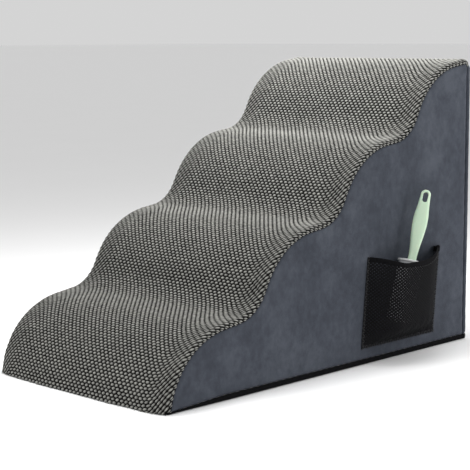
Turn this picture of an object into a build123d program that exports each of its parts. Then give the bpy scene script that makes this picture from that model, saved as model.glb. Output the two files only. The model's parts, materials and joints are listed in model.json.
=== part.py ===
from build123d import *

import math
import os

# Four-tier foam ramp for dogs: a foam block in a liner and a zipped fabric cover, with a mesh
# side pocket that holds a lint roller.
# Millimetres. The origin is the centre of the face it stands on, +Y runs to the high end,
# +X is the side with the pocket and +Z is up.

os.makedirs("parts", exist_ok=True)

# ---------------------------------------------------------------- driving dimensions
WIDTH = 400.0
LENGTH = 738.0
HEIGHT = 500.0

TIERS = 4
TIER_RUN = 187.0
TIER_RISE = 125.0
FIRST_NOSE = (60.0, 108.0)  # corner behind the front edge and above the base
FIRST_NOSE_EARLY = 5.0  # the first tread starts this much sooner than the others
FRONT_FOOT = (9.5, 30.5)  # where the first riser eases back
RISER_ANGLE = 62.3
TREAD_ANGLE = 7.6
FOOT_RADIUS = 100.0
NOSE_RADIUS = 142.0
VALLEY_RADIUS = 65.0
BACK_TOP_RADIUS = 14.0
EDGE_RADIUS = 9.0

COVER = 2.4  # every cover panel
LINER = 0.8
COMFORT = 30.0  # softer foam over the tiers

RIM_HEIGHT = 9.5  # black base fabric turned up the sides and back
RIM_TAPER_Y = -240.0  # in front of this the rim thins out to the front corner

ZIP_TOP = 38.5
ZIP_CENTRE = 24.0
ZIP_GAP = 0.85  # half the gap between the two rows
ZIP_ROW = 2.55
ZIP_RIGHT = 186.0
ZIP_FRONT = -200.0
TAPE_OUTER = 0.2  # below the cover's surface
TAPE = 0.8
ROW_PROUD = 1.4
STOP_LENGTH = 3.5
ROW_RIGHT = 176.0
ROW_FRONT = ZIP_FRONT + STOP_LENGTH

SLIDER_X = 168.0
SLIDER_LENGTH = 13.0
SLIDER_WIDTH = 9.6
PLATE = 1.5
RUN_GAP = 0.3
SLIDER_CORNER = 3.0
SLIDER_INSET = 1.0  # the inner plate is this much smaller all round
SLIDER_FLANGE_INSET = 3.0
POST = (3.0, 1.0)  # joins the two plates at the wide end
POST_AHEAD = 4.0
BAIL_CLEAR = 2.2
BAIL_BAR = 1.2
BAIL_HALF = 5.1
PULL = 1.4
PULL_LENGTH = 26.0
PULL_TAB_RADIUS = 4.2
PULL_SLOT = (7.0, 2.4)
PULL_WINDOW = 6.0  # round the bail, each side of the pivot
PULL_HALF = (2.0, 3.5)  # half widths of the window and of the frame round it

POCKET_FRONT_Y = 77.0
POCKET_WIDTH = 187.0
POCKET_BOTTOM = 32.5
POCKET_TOP = 179.0
POCKET_LEAN = 0.1  # the top sits this much further back per millimetre of height
POCKET_DEPTH = 50.0
POCKET_FLAT = (30.0, 118.0)  # where the bulge is deepest, from the front edge
POCKET_BULGE_RADIUS = 22.0
POCKET_FLOOR_RISE = 27.0
MESH = 1.2
HEM = 2.4
HEM_HEIGHT = 8.0
ELASTIC = 0.8
ELASTIC_HEIGHT = 6.0
BINDING_WIDTH = 4.0

ROLLER_LEAN = 18.7  # degrees towards +Y
ROLLER_TURN = 50.0  # degrees that the handle's flat face is turned from +X towards the front
ROLLER_STAND_OFF = 24.3
NECK_Y = 174.1
NECK_Z = 165.7
HANDLE_LENGTH = 122.5
HANDLE_THICK = 13.0
HANDLE_FILLET = 5.0
HEAD_RADIUS = 8.5
BELLY_RADIUS = 12.5
BELLY_AT = 69.0
NECK_RADIUS = 6.75
SLOT_WIDTH = 9.0
SLOT_LENGTH = 18.0
SPINDLE_RADIUS = 3.0
SPINDLE_FIT = 0.08
FLANGE_RADIUS = 23.2
FLANGE = 3.5
HUB_RADIUS = 17.6
HUB_WALL = 2.0
HUB_LENGTH = 103.0
HUB_END = 3.0
CORE_RADIUS = 18.8
ROLL_RADIUS = 21.5
ROLL_LENGTH = 98.0
CLIP_RADIUS = 5.5
CLIP = 1.6
SEAT_GAP = 0.6
FLANGE_FILLET = 0.8
SPINDLE_SOCKET = 14.0  # how far the spindle goes into the handle
NECK_LENGTH = 8.0

# ---------------------------------------------------------------- derived sizes
HALF_WIDTH = WIDTH / 2
HALF_LENGTH = LENGTH / 2
TREAD_SLOPE = math.tan(math.radians(TREAD_ANGLE))
RISER_SLOPE = math.tan(math.radians(RISER_ANGLE))
FOOT_SLOPE = FRONT_FOOT[1] / FRONT_FOOT[0]
BACK_ZONE_TOP = HEIGHT - BACK_TOP_RADIUS
FAR = 2 * LENGTH  # longer than anything it cuts
RUN_ON = 60.0  # how far a cutting prism runs past the base


def save(builder, label):
    """Name a finished piece and write it to its own file."""
    builder.part.label = label
    export_step(builder.part, f"parts/{label}.step")


def tier_points(drop=0.0, back=0.0):
    """Corners of the side outline as (y, z), run on below the base by drop and behind by back."""
    points = [(-HALF_LENGTH - drop / FOOT_SLOPE, -drop), (FRONT_FOOT[0] - HALF_LENGTH, FRONT_FOOT[1])]
    valley_run = (RISER_SLOPE * TIER_RUN - TIER_RISE) / (RISER_SLOPE - TREAD_SLOPE)
    for tier in range(TIERS):
        nose_y = FIRST_NOSE[0] - HALF_LENGTH + tier * TIER_RUN
        nose_z = FIRST_NOSE[1] + tier * TIER_RISE
        early = 0.0 if tier else FIRST_NOSE_EARLY
        points.append((nose_y - early, nose_z - early * TREAD_SLOPE))
        if tier < TIERS - 1:
            points.append((nose_y + valley_run, nose_z + valley_run * TREAD_SLOPE))
    deck_slope = (HEIGHT - points[-1][1]) / (HALF_LENGTH - points[-1][0])
    points.append((HALF_LENGTH + back, HEIGHT + back * deck_slope))
    points.append((HALF_LENGTH + back, -drop))
    return points


def tier_radii():
    """One radius for each corner of tier_points, sharp along the base."""
    radii = [0.0, FOOT_RADIUS]
    for tier in range(TIERS):
        radii.append(NOSE_RADIUS)
        if tier < TIERS - 1:
            radii.append(VALLEY_RADIUS)
    return radii + [BACK_TOP_RADIUS, 0.0]


def ramp_block(inset):
    """The ramp's whole body, set in by inset on every face, with rounded side edges."""
    half = HALF_WIDTH - inset
    with BuildPart() as block:
        with BuildSketch(Plane.YZ):
            with BuildLine():
                FilletPolyline(*tier_points(), radius=tier_radii(), close=True)
            make_face()
            if inset:
                offset(amount=-inset)
        extrude(amount=half, both=True)
        side_edges = block.edges().filter_by(lambda edge: abs(edge.center().X) > half - 0.01)
        fillet(side_edges.filter_by(lambda edge: edge.center().Z > inset + 0.01), EDGE_RADIUS - inset)
    return block.part


def tier_prism(inset, low_x, high_x, back=0.0):
    """A prism under the tiers, set in by inset, that runs on below the base."""
    with BuildPart() as prism:
        with BuildSketch(Plane.YZ.offset(low_x)):
            with BuildLine():
                FilletPolyline(*tier_points(RUN_ON, back), radius=tier_radii(), close=True)
            make_face()
            offset(amount=-inset)
        extrude(amount=high_x - low_x)
    return prism.part


def zip_ribbon(outer, inner, low, high, right=ZIP_RIGHT, front=ZIP_FRONT):
    """A strip that follows the base outline across the back and along the left side."""
    with BuildPart() as ribbon:
        with BuildSketch(Plane.XY.offset(low)):
            RectangleRounded(WIDTH - 2 * outer, LENGTH - 2 * outer, EDGE_RADIUS - outer)
            RectangleRounded(
                WIDTH - 2 * inner, LENGTH - 2 * inner, EDGE_RADIUS - inner, mode=Mode.SUBTRACT
            )
            with Locations((0, front)):
                Rectangle(FAR, FAR, align=(Align.CENTER, Align.MAX), mode=Mode.SUBTRACT)
            with Locations((right, 0)):
                Rectangle(FAR, FAR, align=(Align.MIN, Align.CENTER), mode=Mode.SUBTRACT)
        extrude(amount=high - low)
    return ribbon


def centred_box(low, high):
    """A box between two corners, added to the part that is being built."""
    size = [b - a for a, b in zip(low, high)]
    middle = [(a + b) / 2 for a, b in zip(low, high)]
    with Locations(tuple(middle)):
        Box(*size)


# ---------------------------------------------------------------- shared bodies
body_outer = ramp_block(0.0)
cover_inner = ramp_block(COVER)
liner_inner = ramp_block(COVER + LINER)

with BuildPart() as cover_shell:
    add(body_outer)
    add(cover_inner, mode=Mode.SUBTRACT)

with BuildPart() as liner_shell:
    add(cover_inner)
    add(liner_inner, mode=Mode.SUBTRACT)

with BuildPart() as rim_zone:
    with BuildSketch(Plane.YZ):
        with BuildLine():
            Polyline(
                (-HALF_LENGTH - COVER, 0),
                (-HALF_LENGTH - COVER, COVER),
                (-HALF_LENGTH + COVER, COVER),
                (RIM_TAPER_Y, RIM_HEIGHT),
                (HALF_LENGTH + COVER, RIM_HEIGHT),
                (HALF_LENGTH + COVER, 0),
                close=True,
            )
        make_face()
    extrude(amount=WIDTH, both=True)

zip_window = zip_ribbon(-COVER, 2 * COVER, RIM_HEIGHT, ZIP_TOP).part

# ---------------------------------------------------------------- foam
core_prism = tier_prism(COVER + LINER + COMFORT, -WIDTH, WIDTH, back=RUN_ON)

with BuildPart() as foam_core:
    add(liner_inner)
    add(core_prism, mode=Mode.INTERSECT)
save(foam_core, "foam_core")

with BuildPart() as comfort_layer:
    add(liner_inner)
    add(core_prism, mode=Mode.SUBTRACT)
save(comfort_layer, "comfort_layer")

# ---------------------------------------------------------------- liner and cover panels
side_reach = HALF_WIDTH - COVER
liner_reach = side_reach - LINER

liner_sides = {
    "liner_side_right": tier_prism(EDGE_RADIUS + LINER, liner_reach, side_reach),
    "liner_side_left": tier_prism(EDGE_RADIUS + LINER, -side_reach, -liner_reach),
}
for label, zone in liner_sides.items():
    with BuildPart() as liner_side:
        add(liner_shell.part)
        add(zone, mode=Mode.INTERSECT)
    save(liner_side, label)

with BuildPart() as liner_wrap:
    add(liner_shell.part)
    for zone in liner_sides.values():
        add(zone, mode=Mode.SUBTRACT)
save(liner_wrap, "liner_wrap")

with BuildPart() as base_panel:
    add(cover_shell.part)
    add(rim_zone.part, mode=Mode.INTERSECT)
save(base_panel, "base_panel")

side_zones = {
    "side_panel_right": tier_prism(EDGE_RADIUS, side_reach, HALF_WIDTH),
    "side_panel_left": tier_prism(EDGE_RADIUS, -HALF_WIDTH, -side_reach),
}
for label, zone in side_zones.items():
    with BuildPart() as side_panel:
        add(zone)
        add(cover_shell.part, mode=Mode.INTERSECT)
        add(rim_zone.part, mode=Mode.SUBTRACT)
        add(zip_window, mode=Mode.SUBTRACT)
    save(side_panel, label)

with BuildPart() as back_zone:
    centred_box(
        (-WIDTH, HALF_LENGTH - EDGE_RADIUS, -RUN_ON),
        (WIDTH, HALF_LENGTH + RUN_ON, BACK_ZONE_TOP),
    )

with BuildPart() as wrap_shell:
    add(cover_shell.part)
    add(rim_zone.part, mode=Mode.SUBTRACT)
    add(zip_window, mode=Mode.SUBTRACT)
    for zone in side_zones.values():
        add(zone, mode=Mode.SUBTRACT)

with BuildPart() as back_panel:
    add(wrap_shell.part)
    add(back_zone.part, mode=Mode.INTERSECT)
save(back_panel, "back_panel")

with BuildPart() as top_panel:
    add(wrap_shell.part)
    add(back_zone.part, mode=Mode.SUBTRACT)
save(top_panel, "top_panel")

# ---------------------------------------------------------------- zip
zip_pieces = {
    "zip_tape_lower": (TAPE_OUTER, RIM_HEIGHT, ZIP_CENTRE - ZIP_GAP),
    "zip_tape_upper": (TAPE_OUTER, ZIP_CENTRE + ZIP_GAP, ZIP_TOP),
}
for label, (outer, low, high) in zip_pieces.items():
    tape = zip_ribbon(outer, outer + TAPE, low, high)
    save(tape, label)

zip_rows = {
    "zip_coil_lower": ZIP_CENTRE - ZIP_GAP - ZIP_ROW,
    "zip_coil_upper": ZIP_CENTRE + ZIP_GAP,
}
for label, low in zip_rows.items():
    row = zip_ribbon(-ROW_PROUD, TAPE_OUTER, low, low + ZIP_ROW, ROW_RIGHT, ROW_FRONT)
    save(row, label)

stop_low = ZIP_CENTRE - ZIP_GAP - ZIP_ROW
stop_high = ZIP_CENTRE + ZIP_GAP + ZIP_ROW
row_surface = HALF_LENGTH + ROW_PROUD
tape_surface = HALF_LENGTH - TAPE_OUTER

with BuildPart() as zip_end_stop:
    centred_box(
        (ROW_RIGHT, tape_surface, stop_low),
        (ROW_RIGHT + STOP_LENGTH, row_surface, stop_high),
    )
save(zip_end_stop, "zip_end_stop")

with BuildPart() as zip_start_stop:
    centred_box(
        (-HALF_WIDTH - ROW_PROUD, ZIP_FRONT, stop_low),
        (-HALF_WIDTH + TAPE_OUTER, ROW_FRONT, stop_high),
    )
save(zip_start_stop, "zip_start_stop")

plate_low = row_surface + RUN_GAP
plate_high = plate_low + PLATE
back_plate_high = tape_surface - TAPE - RUN_GAP
back_plate_low = back_plate_high - TAPE
half_slider = SLIDER_LENGTH / 2
half_plate = SLIDER_WIDTH / 2
flange_inner = half_plate - SLIDER_INSET
post_x = SLIDER_X + POST_AHEAD
pull_y = plate_high + BAIL_CLEAR / 2

with BuildPart() as zip_slider:
    centred_box(
        (SLIDER_X - half_slider, plate_low, ZIP_CENTRE - half_plate),
        (SLIDER_X + half_slider, plate_high, ZIP_CENTRE + half_plate),
    )
    fillet(zip_slider.edges().filter_by(Axis.Y), SLIDER_CORNER)
    centred_box(
        (SLIDER_X - half_slider + SLIDER_INSET, back_plate_low, ZIP_CENTRE - flange_inner),
        (SLIDER_X + half_slider - SLIDER_INSET, back_plate_high, ZIP_CENTRE + flange_inner),
    )
    centred_box(
        (post_x - POST[0] / 2, back_plate_high, ZIP_CENTRE - POST[1] / 2),
        (post_x + POST[0] / 2, plate_low, ZIP_CENTRE + POST[1] / 2),
    )
    for low, high in ((-half_plate, -flange_inner), (flange_inner, half_plate)):
        centred_box(
            (SLIDER_X - half_slider + SLIDER_FLANGE_INSET, tape_surface + RUN_GAP, ZIP_CENTRE + low),
            (SLIDER_X + half_slider - SLIDER_FLANGE_INSET, plate_low, ZIP_CENTRE + high),
        )
    # The bail is an arch over the plate that the pull hangs from.
    with BuildSketch(Plane.XY.offset(ZIP_CENTRE - BAIL_BAR)):
        with Locations((SLIDER_X, plate_high)):
            Rectangle(2 * BAIL_HALF, BAIL_CLEAR + BAIL_BAR, align=(Align.CENTER, Align.MIN))
            Rectangle(
                2 * (BAIL_HALF - BAIL_BAR),
                BAIL_CLEAR,
                align=(Align.CENTER, Align.MIN),
                mode=Mode.SUBTRACT,
            )
    extrude(amount=2 * BAIL_BAR)
save(zip_slider, "zip_slider")

tab_x = SLIDER_X - PULL_LENGTH + PULL_TAB_RADIUS
with BuildPart() as zip_pull:
    with BuildSketch(Plane.XZ.offset(-pull_y)):
        with Locations((tab_x, ZIP_CENTRE)):
            Circle(PULL_TAB_RADIUS)
            Rectangle(SLIDER_X - tab_x, 2 * PULL_HALF[1], align=(Align.MIN, Align.CENTER))
            SlotOverall(*PULL_SLOT, mode=Mode.SUBTRACT)
        with Locations((SLIDER_X, ZIP_CENTRE)):
            Rectangle(2 * PULL_WINDOW, 2 * PULL_HALF[0], mode=Mode.SUBTRACT)
    extrude(amount=PULL / 2, both=True)
    with Locations((SLIDER_X, pull_y, ZIP_CENTRE)):
        Cylinder(PULL / 2, 2 * PULL_HALF[1])
save(zip_pull, "zip_pull")

# ---------------------------------------------------------------- pocket
pocket_lean = (0, POCKET_LEAN, 1)
lean_length = math.hypot(1, POCKET_LEAN)


def pocket_front_at(z):
    """Where the pocket's front edge is at height z."""
    return POCKET_FRONT_Y + POCKET_LEAN * (z - POCKET_BOTTOM)


def pocket_bulge(inset, low, high):
    """The leaning bulge between two heights, with its outer skin set in by inset."""
    with BuildPart() as bulge:
        with BuildSketch(Plane.XY.offset(low)):
            with BuildLine():
                FilletPolyline(
                    (HALF_WIDTH - POCKET_DEPTH, pocket_front_at(low)),
                    (HALF_WIDTH, pocket_front_at(low)),
                    (HALF_WIDTH + POCKET_DEPTH, pocket_front_at(low) + POCKET_FLAT[0]),
                    (HALF_WIDTH + POCKET_DEPTH, pocket_front_at(low) + POCKET_FLAT[1]),
                    (HALF_WIDTH, pocket_front_at(low) + POCKET_WIDTH),
                    (HALF_WIDTH - POCKET_DEPTH, pocket_front_at(low) + POCKET_WIDTH),
                    radius=[0, 0, POCKET_BULGE_RADIUS, POCKET_BULGE_RADIUS, 0, 0],
                    close=True,
                )
            make_face()
            if inset:
                offset(amount=-inset)
        extrude(amount=(high - low) * lean_length, dir=pocket_lean)
        with BuildSketch(Plane.XY.offset(low)):
            with Locations((HALF_WIDTH, 0)):
                Rectangle(FAR, FAR, align=(Align.MAX, Align.CENTER))
        extrude(amount=high - low, mode=Mode.SUBTRACT)
    return bulge.part


def under_floor(lift):
    """Everything below the pocket's sloping floor, raised by lift."""
    with BuildPart() as wedge:
        with BuildSketch(Plane.XZ.offset(-HALF_LENGTH)):
            with BuildLine():
                Polyline(
                    (HALF_WIDTH, POCKET_BOTTOM + lift),
                    (HALF_WIDTH + 2 * POCKET_DEPTH, POCKET_BOTTOM + lift + 2 * POCKET_FLOOR_RISE),
                    (HALF_WIDTH + 2 * POCKET_DEPTH, -POCKET_BOTTOM),
                    (HALF_WIDTH, -POCKET_BOTTOM),
                    close=True,
                )
            make_face()
        extrude(amount=LENGTH)
    return wedge.part


hem_bottom = POCKET_TOP - HEM_HEIGHT
floor_lift = MESH * math.hypot(POCKET_DEPTH, POCKET_FLOOR_RISE) / POCKET_DEPTH

with BuildPart() as pocket_space:
    add(pocket_bulge(MESH, POCKET_BOTTOM, hem_bottom))
    add(under_floor(floor_lift), mode=Mode.SUBTRACT)

with BuildPart() as pocket_panel:
    add(pocket_bulge(0.0, POCKET_BOTTOM, hem_bottom))
    add(under_floor(0.0), mode=Mode.SUBTRACT)
    add(pocket_space.part, mode=Mode.SUBTRACT)
save(pocket_panel, "pocket_panel")

hem_proud = (HEM - MESH) / 2
elastic_inset = (MESH - ELASTIC) / 2
elastic_bottom = hem_bottom + (HEM_HEIGHT - ELASTIC_HEIGHT) / 2
elastic_top = elastic_bottom + ELASTIC_HEIGHT

with BuildPart() as pocket_elastic:
    add(pocket_bulge(elastic_inset, elastic_bottom, elastic_top))
    add(pocket_bulge(elastic_inset + ELASTIC, elastic_bottom, elastic_top), mode=Mode.SUBTRACT)
save(pocket_elastic, "pocket_elastic")

with BuildPart() as pocket_hem:
    add(pocket_bulge(-hem_proud, hem_bottom, POCKET_TOP))
    add(pocket_bulge(MESH + hem_proud, hem_bottom, POCKET_TOP), mode=Mode.SUBTRACT)
    add(pocket_elastic.part, mode=Mode.SUBTRACT)
save(pocket_hem, "pocket_hem")

with BuildPart() as pocket_edge_binding:
    with BuildSketch(Plane.YZ.offset(HALF_WIDTH)):
        with BuildLine():
            Polyline(
                (pocket_front_at(POCKET_BOTTOM) - BINDING_WIDTH, POCKET_BOTTOM - BINDING_WIDTH),
                (pocket_front_at(hem_bottom) - BINDING_WIDTH, hem_bottom),
                (pocket_front_at(hem_bottom), hem_bottom),
                (pocket_front_at(POCKET_BOTTOM), POCKET_BOTTOM),
                (pocket_front_at(POCKET_BOTTOM) + POCKET_WIDTH, POCKET_BOTTOM),
                (pocket_front_at(hem_bottom) + POCKET_WIDTH, hem_bottom),
                (pocket_front_at(hem_bottom) + POCKET_WIDTH + BINDING_WIDTH, hem_bottom),
                (
                    pocket_front_at(POCKET_BOTTOM) + POCKET_WIDTH + BINDING_WIDTH,
                    POCKET_BOTTOM - BINDING_WIDTH,
                ),
                close=True,
            )
        make_face()
    extrude(amount=MESH)
save(pocket_edge_binding, "pocket_edge_binding")

# ---------------------------------------------------------------- lint roller
# Distances along the roller are measured from the top of its flange, up the handle.
lean_y = math.sin(math.radians(ROLLER_LEAN))
lean_z = math.cos(math.radians(ROLLER_LEAN))
neck = (HALF_WIDTH + ROLLER_STAND_OFF, NECK_Y, NECK_Z)
across_roller = Plane(origin=neck, x_dir=(1, 0, 0), z_dir=(0, lean_y, lean_z))
turn_x = math.cos(math.radians(ROLLER_TURN))
turn_y = math.sin(math.radians(ROLLER_TURN))
roller_face = Plane(
    origin=neck,
    x_dir=(turn_y, turn_x * lean_z, -turn_x * lean_y),
    z_dir=(turn_x, -turn_y * lean_z, turn_y * lean_y),
)
bore_radius = SPINDLE_RADIUS + SPINDLE_FIT
head_at = HANDLE_LENGTH - HEAD_RADIUS
slot_at = HANDLE_LENGTH - SLOT_LENGTH / 2 - (HEAD_RADIUS - SLOT_WIDTH / 2)
clip_top = -HUB_LENGTH - SEAT_GAP

with BuildPart() as roller_spindle:
    with BuildSketch(across_roller.offset(clip_top - CLIP)):
        Circle(SPINDLE_RADIUS)
    extrude(amount=SPINDLE_SOCKET - clip_top + CLIP)
save(roller_spindle, "roller_spindle")

with BuildPart() as roller_handle:
    with BuildSketch(roller_face):
        with Locations((0, head_at)):
            Circle(HEAD_RADIUS)
        with Locations((0, BELLY_AT)):
            Circle(BELLY_RADIUS)
        with Locations((0, SEAT_GAP)):
            Rectangle(2 * NECK_RADIUS, NECK_LENGTH, align=(Align.CENTER, Align.MIN))
        make_hull()
    extrude(amount=HANDLE_THICK / 2, both=True)
    rims = roller_handle.edges().filter_by(
        lambda edge: abs(abs(roller_face.to_local_coords(edge.center()).Z) - HANDLE_THICK / 2) < 0.01
    )
    fillet(rims, HANDLE_FILLET)
    with BuildSketch(roller_face):
        with Locations((0, slot_at)):
            SlotOverall(SLOT_LENGTH, SLOT_WIDTH, rotation=90)
    extrude(amount=HANDLE_THICK, both=True, mode=Mode.SUBTRACT)
    add(roller_spindle.part, mode=Mode.SUBTRACT)
save(roller_handle, "roller_handle")

with BuildPart() as spindle_clip:
    with BuildSketch(across_roller.offset(clip_top - CLIP)):
        Circle(CLIP_RADIUS)
        Circle(SPINDLE_RADIUS, mode=Mode.SUBTRACT)
    extrude(amount=CLIP)
save(spindle_clip, "spindle_clip")

with BuildPart() as roller_reel:
    with BuildSketch(across_roller.offset(-FLANGE)):
        Circle(FLANGE_RADIUS)
    extrude(amount=FLANGE)
    fillet(roller_reel.edges(), FLANGE_FILLET)
    with BuildSketch(across_roller.offset(-HUB_LENGTH)):
        Circle(HUB_RADIUS)
    extrude(amount=HUB_LENGTH - FLANGE / 2)
    with BuildSketch(across_roller.offset(-HUB_LENGTH)):
        Circle(HUB_RADIUS - HUB_WALL)
    extrude(amount=HUB_LENGTH - HUB_END, mode=Mode.SUBTRACT)
    with BuildSketch(across_roller.offset(-HUB_LENGTH)):
        Circle(bore_radius)
    extrude(amount=2 * HUB_LENGTH, mode=Mode.SUBTRACT)
save(roller_reel, "roller_reel")

with BuildPart() as reel_end_cap:
    with BuildSketch(across_roller.offset(-HUB_LENGTH)):
        Circle(HUB_RADIUS - HUB_WALL)
        Circle(bore_radius, mode=Mode.SUBTRACT)
    extrude(amount=HUB_END)
save(reel_end_cap, "reel_end_cap")

roll_layers = {
    "paper_core": (HUB_RADIUS, CORE_RADIUS),
    "adhesive_roll": (CORE_RADIUS, ROLL_RADIUS),
}
for label, (inner, outer) in roll_layers.items():
    with BuildPart() as layer:
        with BuildSketch(across_roller.offset(-FLANGE - ROLL_LENGTH)):
            Circle(outer)
            Circle(inner, mode=Mode.SUBTRACT)
        extrude(amount=ROLL_LENGTH)
    save(layer, label)
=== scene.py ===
import json
import math

import bmesh
import bpy
import numpy as np
from mathutils import Matrix, Vector


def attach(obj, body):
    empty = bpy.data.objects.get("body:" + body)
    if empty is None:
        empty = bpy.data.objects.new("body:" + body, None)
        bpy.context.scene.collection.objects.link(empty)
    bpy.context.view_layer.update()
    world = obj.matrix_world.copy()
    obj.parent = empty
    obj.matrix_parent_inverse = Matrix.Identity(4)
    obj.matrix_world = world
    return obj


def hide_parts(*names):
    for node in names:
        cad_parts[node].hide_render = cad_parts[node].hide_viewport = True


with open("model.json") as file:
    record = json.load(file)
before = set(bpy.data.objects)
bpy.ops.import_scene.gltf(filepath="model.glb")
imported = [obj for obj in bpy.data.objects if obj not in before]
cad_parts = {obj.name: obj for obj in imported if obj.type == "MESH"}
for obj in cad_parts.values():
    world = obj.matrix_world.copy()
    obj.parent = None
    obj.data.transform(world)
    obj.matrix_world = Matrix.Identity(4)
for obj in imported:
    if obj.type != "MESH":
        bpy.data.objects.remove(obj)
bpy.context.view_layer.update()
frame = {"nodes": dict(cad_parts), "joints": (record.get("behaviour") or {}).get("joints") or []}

# Four-tier foam ramp for dogs. Metres, +Y to the high end, +X to the pocket side, +Z up.
MM = 0.001
rng = np.random.default_rng(20)

# ------------------------------------------------------------------ sizes
WIDTH = 400 * MM
LENGTH = 738 * MM
HEIGHT = 500 * MM
HALF_W = WIDTH / 2
HALF_L = LENGTH / 2

TIERS = 4
TIER_RUN = 187 * MM
TIER_RISE = 125 * MM
FIRST_NOSE = (60 * MM, 108 * MM)  # corner behind the front edge and above the base
FIRST_NOSE_EARLY = 5 * MM
FRONT_FOOT = (9.5 * MM, 30.5 * MM)
RISER_SLOPE = math.tan(math.radians(62.3))
TREAD_SLOPE = math.tan(math.radians(7.6))
FOOT_RADIUS = 100 * MM
NOSE_RADIUS = 142 * MM
VALLEY_RADIUS = 65 * MM
BACK_TOP_RADIUS = 14 * MM
EDGE = 9 * MM  # radius of the roll over each side edge
COVER = 2.4 * MM
PLUSH_THICK = 1.6 * MM
LINER_THICK = 0.5 * MM
FLOOR_GAP = 0.3 * MM  # the front edge is flattened where it lies on the floor
RIM = 9.5 * MM
RIM_TAPER_Y = -240 * MM
FRONT_RIM_INSET = 2.4 * MM  # the base stays hidden under the front edge of the cover
ZIP_TOP = 38.5 * MM

# The weave: raised yarn floats in staggered rows on a dark ground cloth.
FLOAT_PITCH = 9.25 * MM
ROW_PITCH = 5.0 * MM
FLOAT_HALF = (3.75 * MM, 2.45 * MM, 2.0 * MM)
FLOAT_TILT = 0.16
FLOAT_CENTRE = -1.5 * MM
FLOAT_PIECES = 5
GROUND_TOP = -1.8 * MM
PULL_FROM = 145 * MM  # beyond this the rows are pulled up towards the side seams
PULL_RISE = 22 * MM
PULL_LEFT = -0.7  # the left seam pulls the rows down instead, and less
PULL_STRETCH = 0.35
SEAM_SHRINK = 0.42
SEAM_SINK = 0.8 * MM
EXTRA_ROWS = 7
FIRST_FLOAT = -1.5 * MM  # rows start below the front edge, so that no gap shows over the floor
SEAM_INSET = 1.8 * MM  # the last float of a row lies this far inside the seam

CORNER_PUFF = 2.6 * MM  # the back panel stands this far out at its two corners

ZIP_CENTRE = 24 * MM
ZIP_RIGHT = 186 * MM
ZIP_FRONT = -200 * MM
ZIP_GAP = 0.85 * MM  # from the middle of the zip to the edge of each tape
COIL_PITCH = 1.5 * MM
COIL_STEPS = 12
# The loops stop short of the middle, where the slider's post passes between the two rows.
COIL_MIDDLE = 2.1 * MM
COIL_REACH = 1.15 * MM

POCKET_FRONT_Y = 77 * MM
POCKET_WIDTH = 187 * MM
POCKET_BOTTOM = 32.5 * MM
POCKET_TOP = 179 * MM
POCKET_LEAN = 0.1
POCKET_DEPTH = 50 * MM
POCKET_FLOOR_RISE = 27 * MM
MOUTH_SAG = 9.5 * MM
HEM_HEIGHT = 8 * MM
HEM_STITCH_LEVEL = 0.93  # as a share of the way from the bottom seam to the mouth
BINDING_WIDTH = 4 * MM
CORNER_ROLL = 5.2 * MM
CORNER_TUCK = 5.5 * MM  # how far the rolled corner sits in from the back edge
NET_PITCH = (6.4 * MM, 5.5 * MM)
CELL_RIM = [
    (0.5, 0), (0.25, 0.25), (0, 0.5), (-0.25, 0.25),
    (-0.5, 0), (-0.25, -0.25), (0, -0.5), (0.25, -0.25),
]
NET_HOLE = 0.150  # half width of a hole as a share of the pitch

# The roller turns about this line; distances along it start at the top of the flange.
SPIN = next(joint for joint in frame["joints"] if joint["name"] == "roller_spin")
ROLLER_NECK = np.array(SPIN["pos_m"])
ROLLER_AXIS = np.array(SPIN["axis"])
ROLLER_TURN = math.radians(50)
HANDLE_LENGTH = 122.5 * MM
FLANGE = 3.5 * MM
CORE_RADIUS = 18.8 * MM
ROLL_RADIUS = 21.5 * MM
ROLL_LENGTH = 98 * MM

# The plain studio: lamps as name, place, width in metres and power in watts.
FLOOR_REACH = 90.0
AIR_LIGHT = 0.66
LAMPS = [
    ("key", (-0.10, 0.12, 1.22), 0.7, 18.4),
    ("front_fill", (0.3, -1.4, 2.1), 0.9, 3.4),
    ("side_fill", (1.3, 1.2, 0.8), 0.8, 12.0),
]
LAMPS_AIM = (0, 0.05, 0.25)
LENS, SENSOR = 108.7, 36.0
CAMERA_OFF = (2.8981, -4.1459, 1.0707)  # from the back right foot, in heights of the ramp
CAMERA_TURN = (44.36, -7.904, -0.22)  # yaw, pitch and roll in degrees


# ------------------------------------------------------------------ mesh helpers
def mesh_object(name, points, faces, material, smooth=True):
    """A mesh from an array of points and an array of faces with equal corner counts."""
    points = np.asarray(points, float).reshape(-1, 3)
    faces = np.asarray(faces, np.int32)
    count, corners = faces.shape
    mesh = bpy.data.meshes.new(name)
    mesh.vertices.add(len(points))
    mesh.vertices.foreach_set("co", points.ravel())
    mesh.loops.add(count * corners)
    mesh.loops.foreach_set("vertex_index", faces.ravel())
    mesh.polygons.add(count)
    mesh.polygons.foreach_set("loop_start", np.arange(count, dtype=np.int32) * corners)
    mesh.polygons.foreach_set("loop_total", np.full(count, corners, np.int32))
    mesh.update(calc_edges=True)
    mesh.validate()
    mesh.polygons.foreach_set("use_smooth", np.full(len(mesh.polygons), smooth))
    return linked(name, mesh, material)


def linked(name, mesh, material=None):
    """An object in the scene with this mesh and material."""
    if material:
        mesh.materials.append(material)
    piece = bpy.data.objects.new(name, mesh)
    bpy.context.scene.collection.objects.link(piece)
    return piece


def grid_faces(rows, columns, start=0, flip=False):
    """Quads of a grid of points stored row by row."""
    r, c = np.meshgrid(np.arange(rows - 1), np.arange(columns - 1), indexing="ij")
    a = (start + r * columns + c).ravel()
    quads = np.stack([a, a + 1, a + columns + 1, a + columns], 1)
    return quads[:, ::-1] if flip else quads


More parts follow.
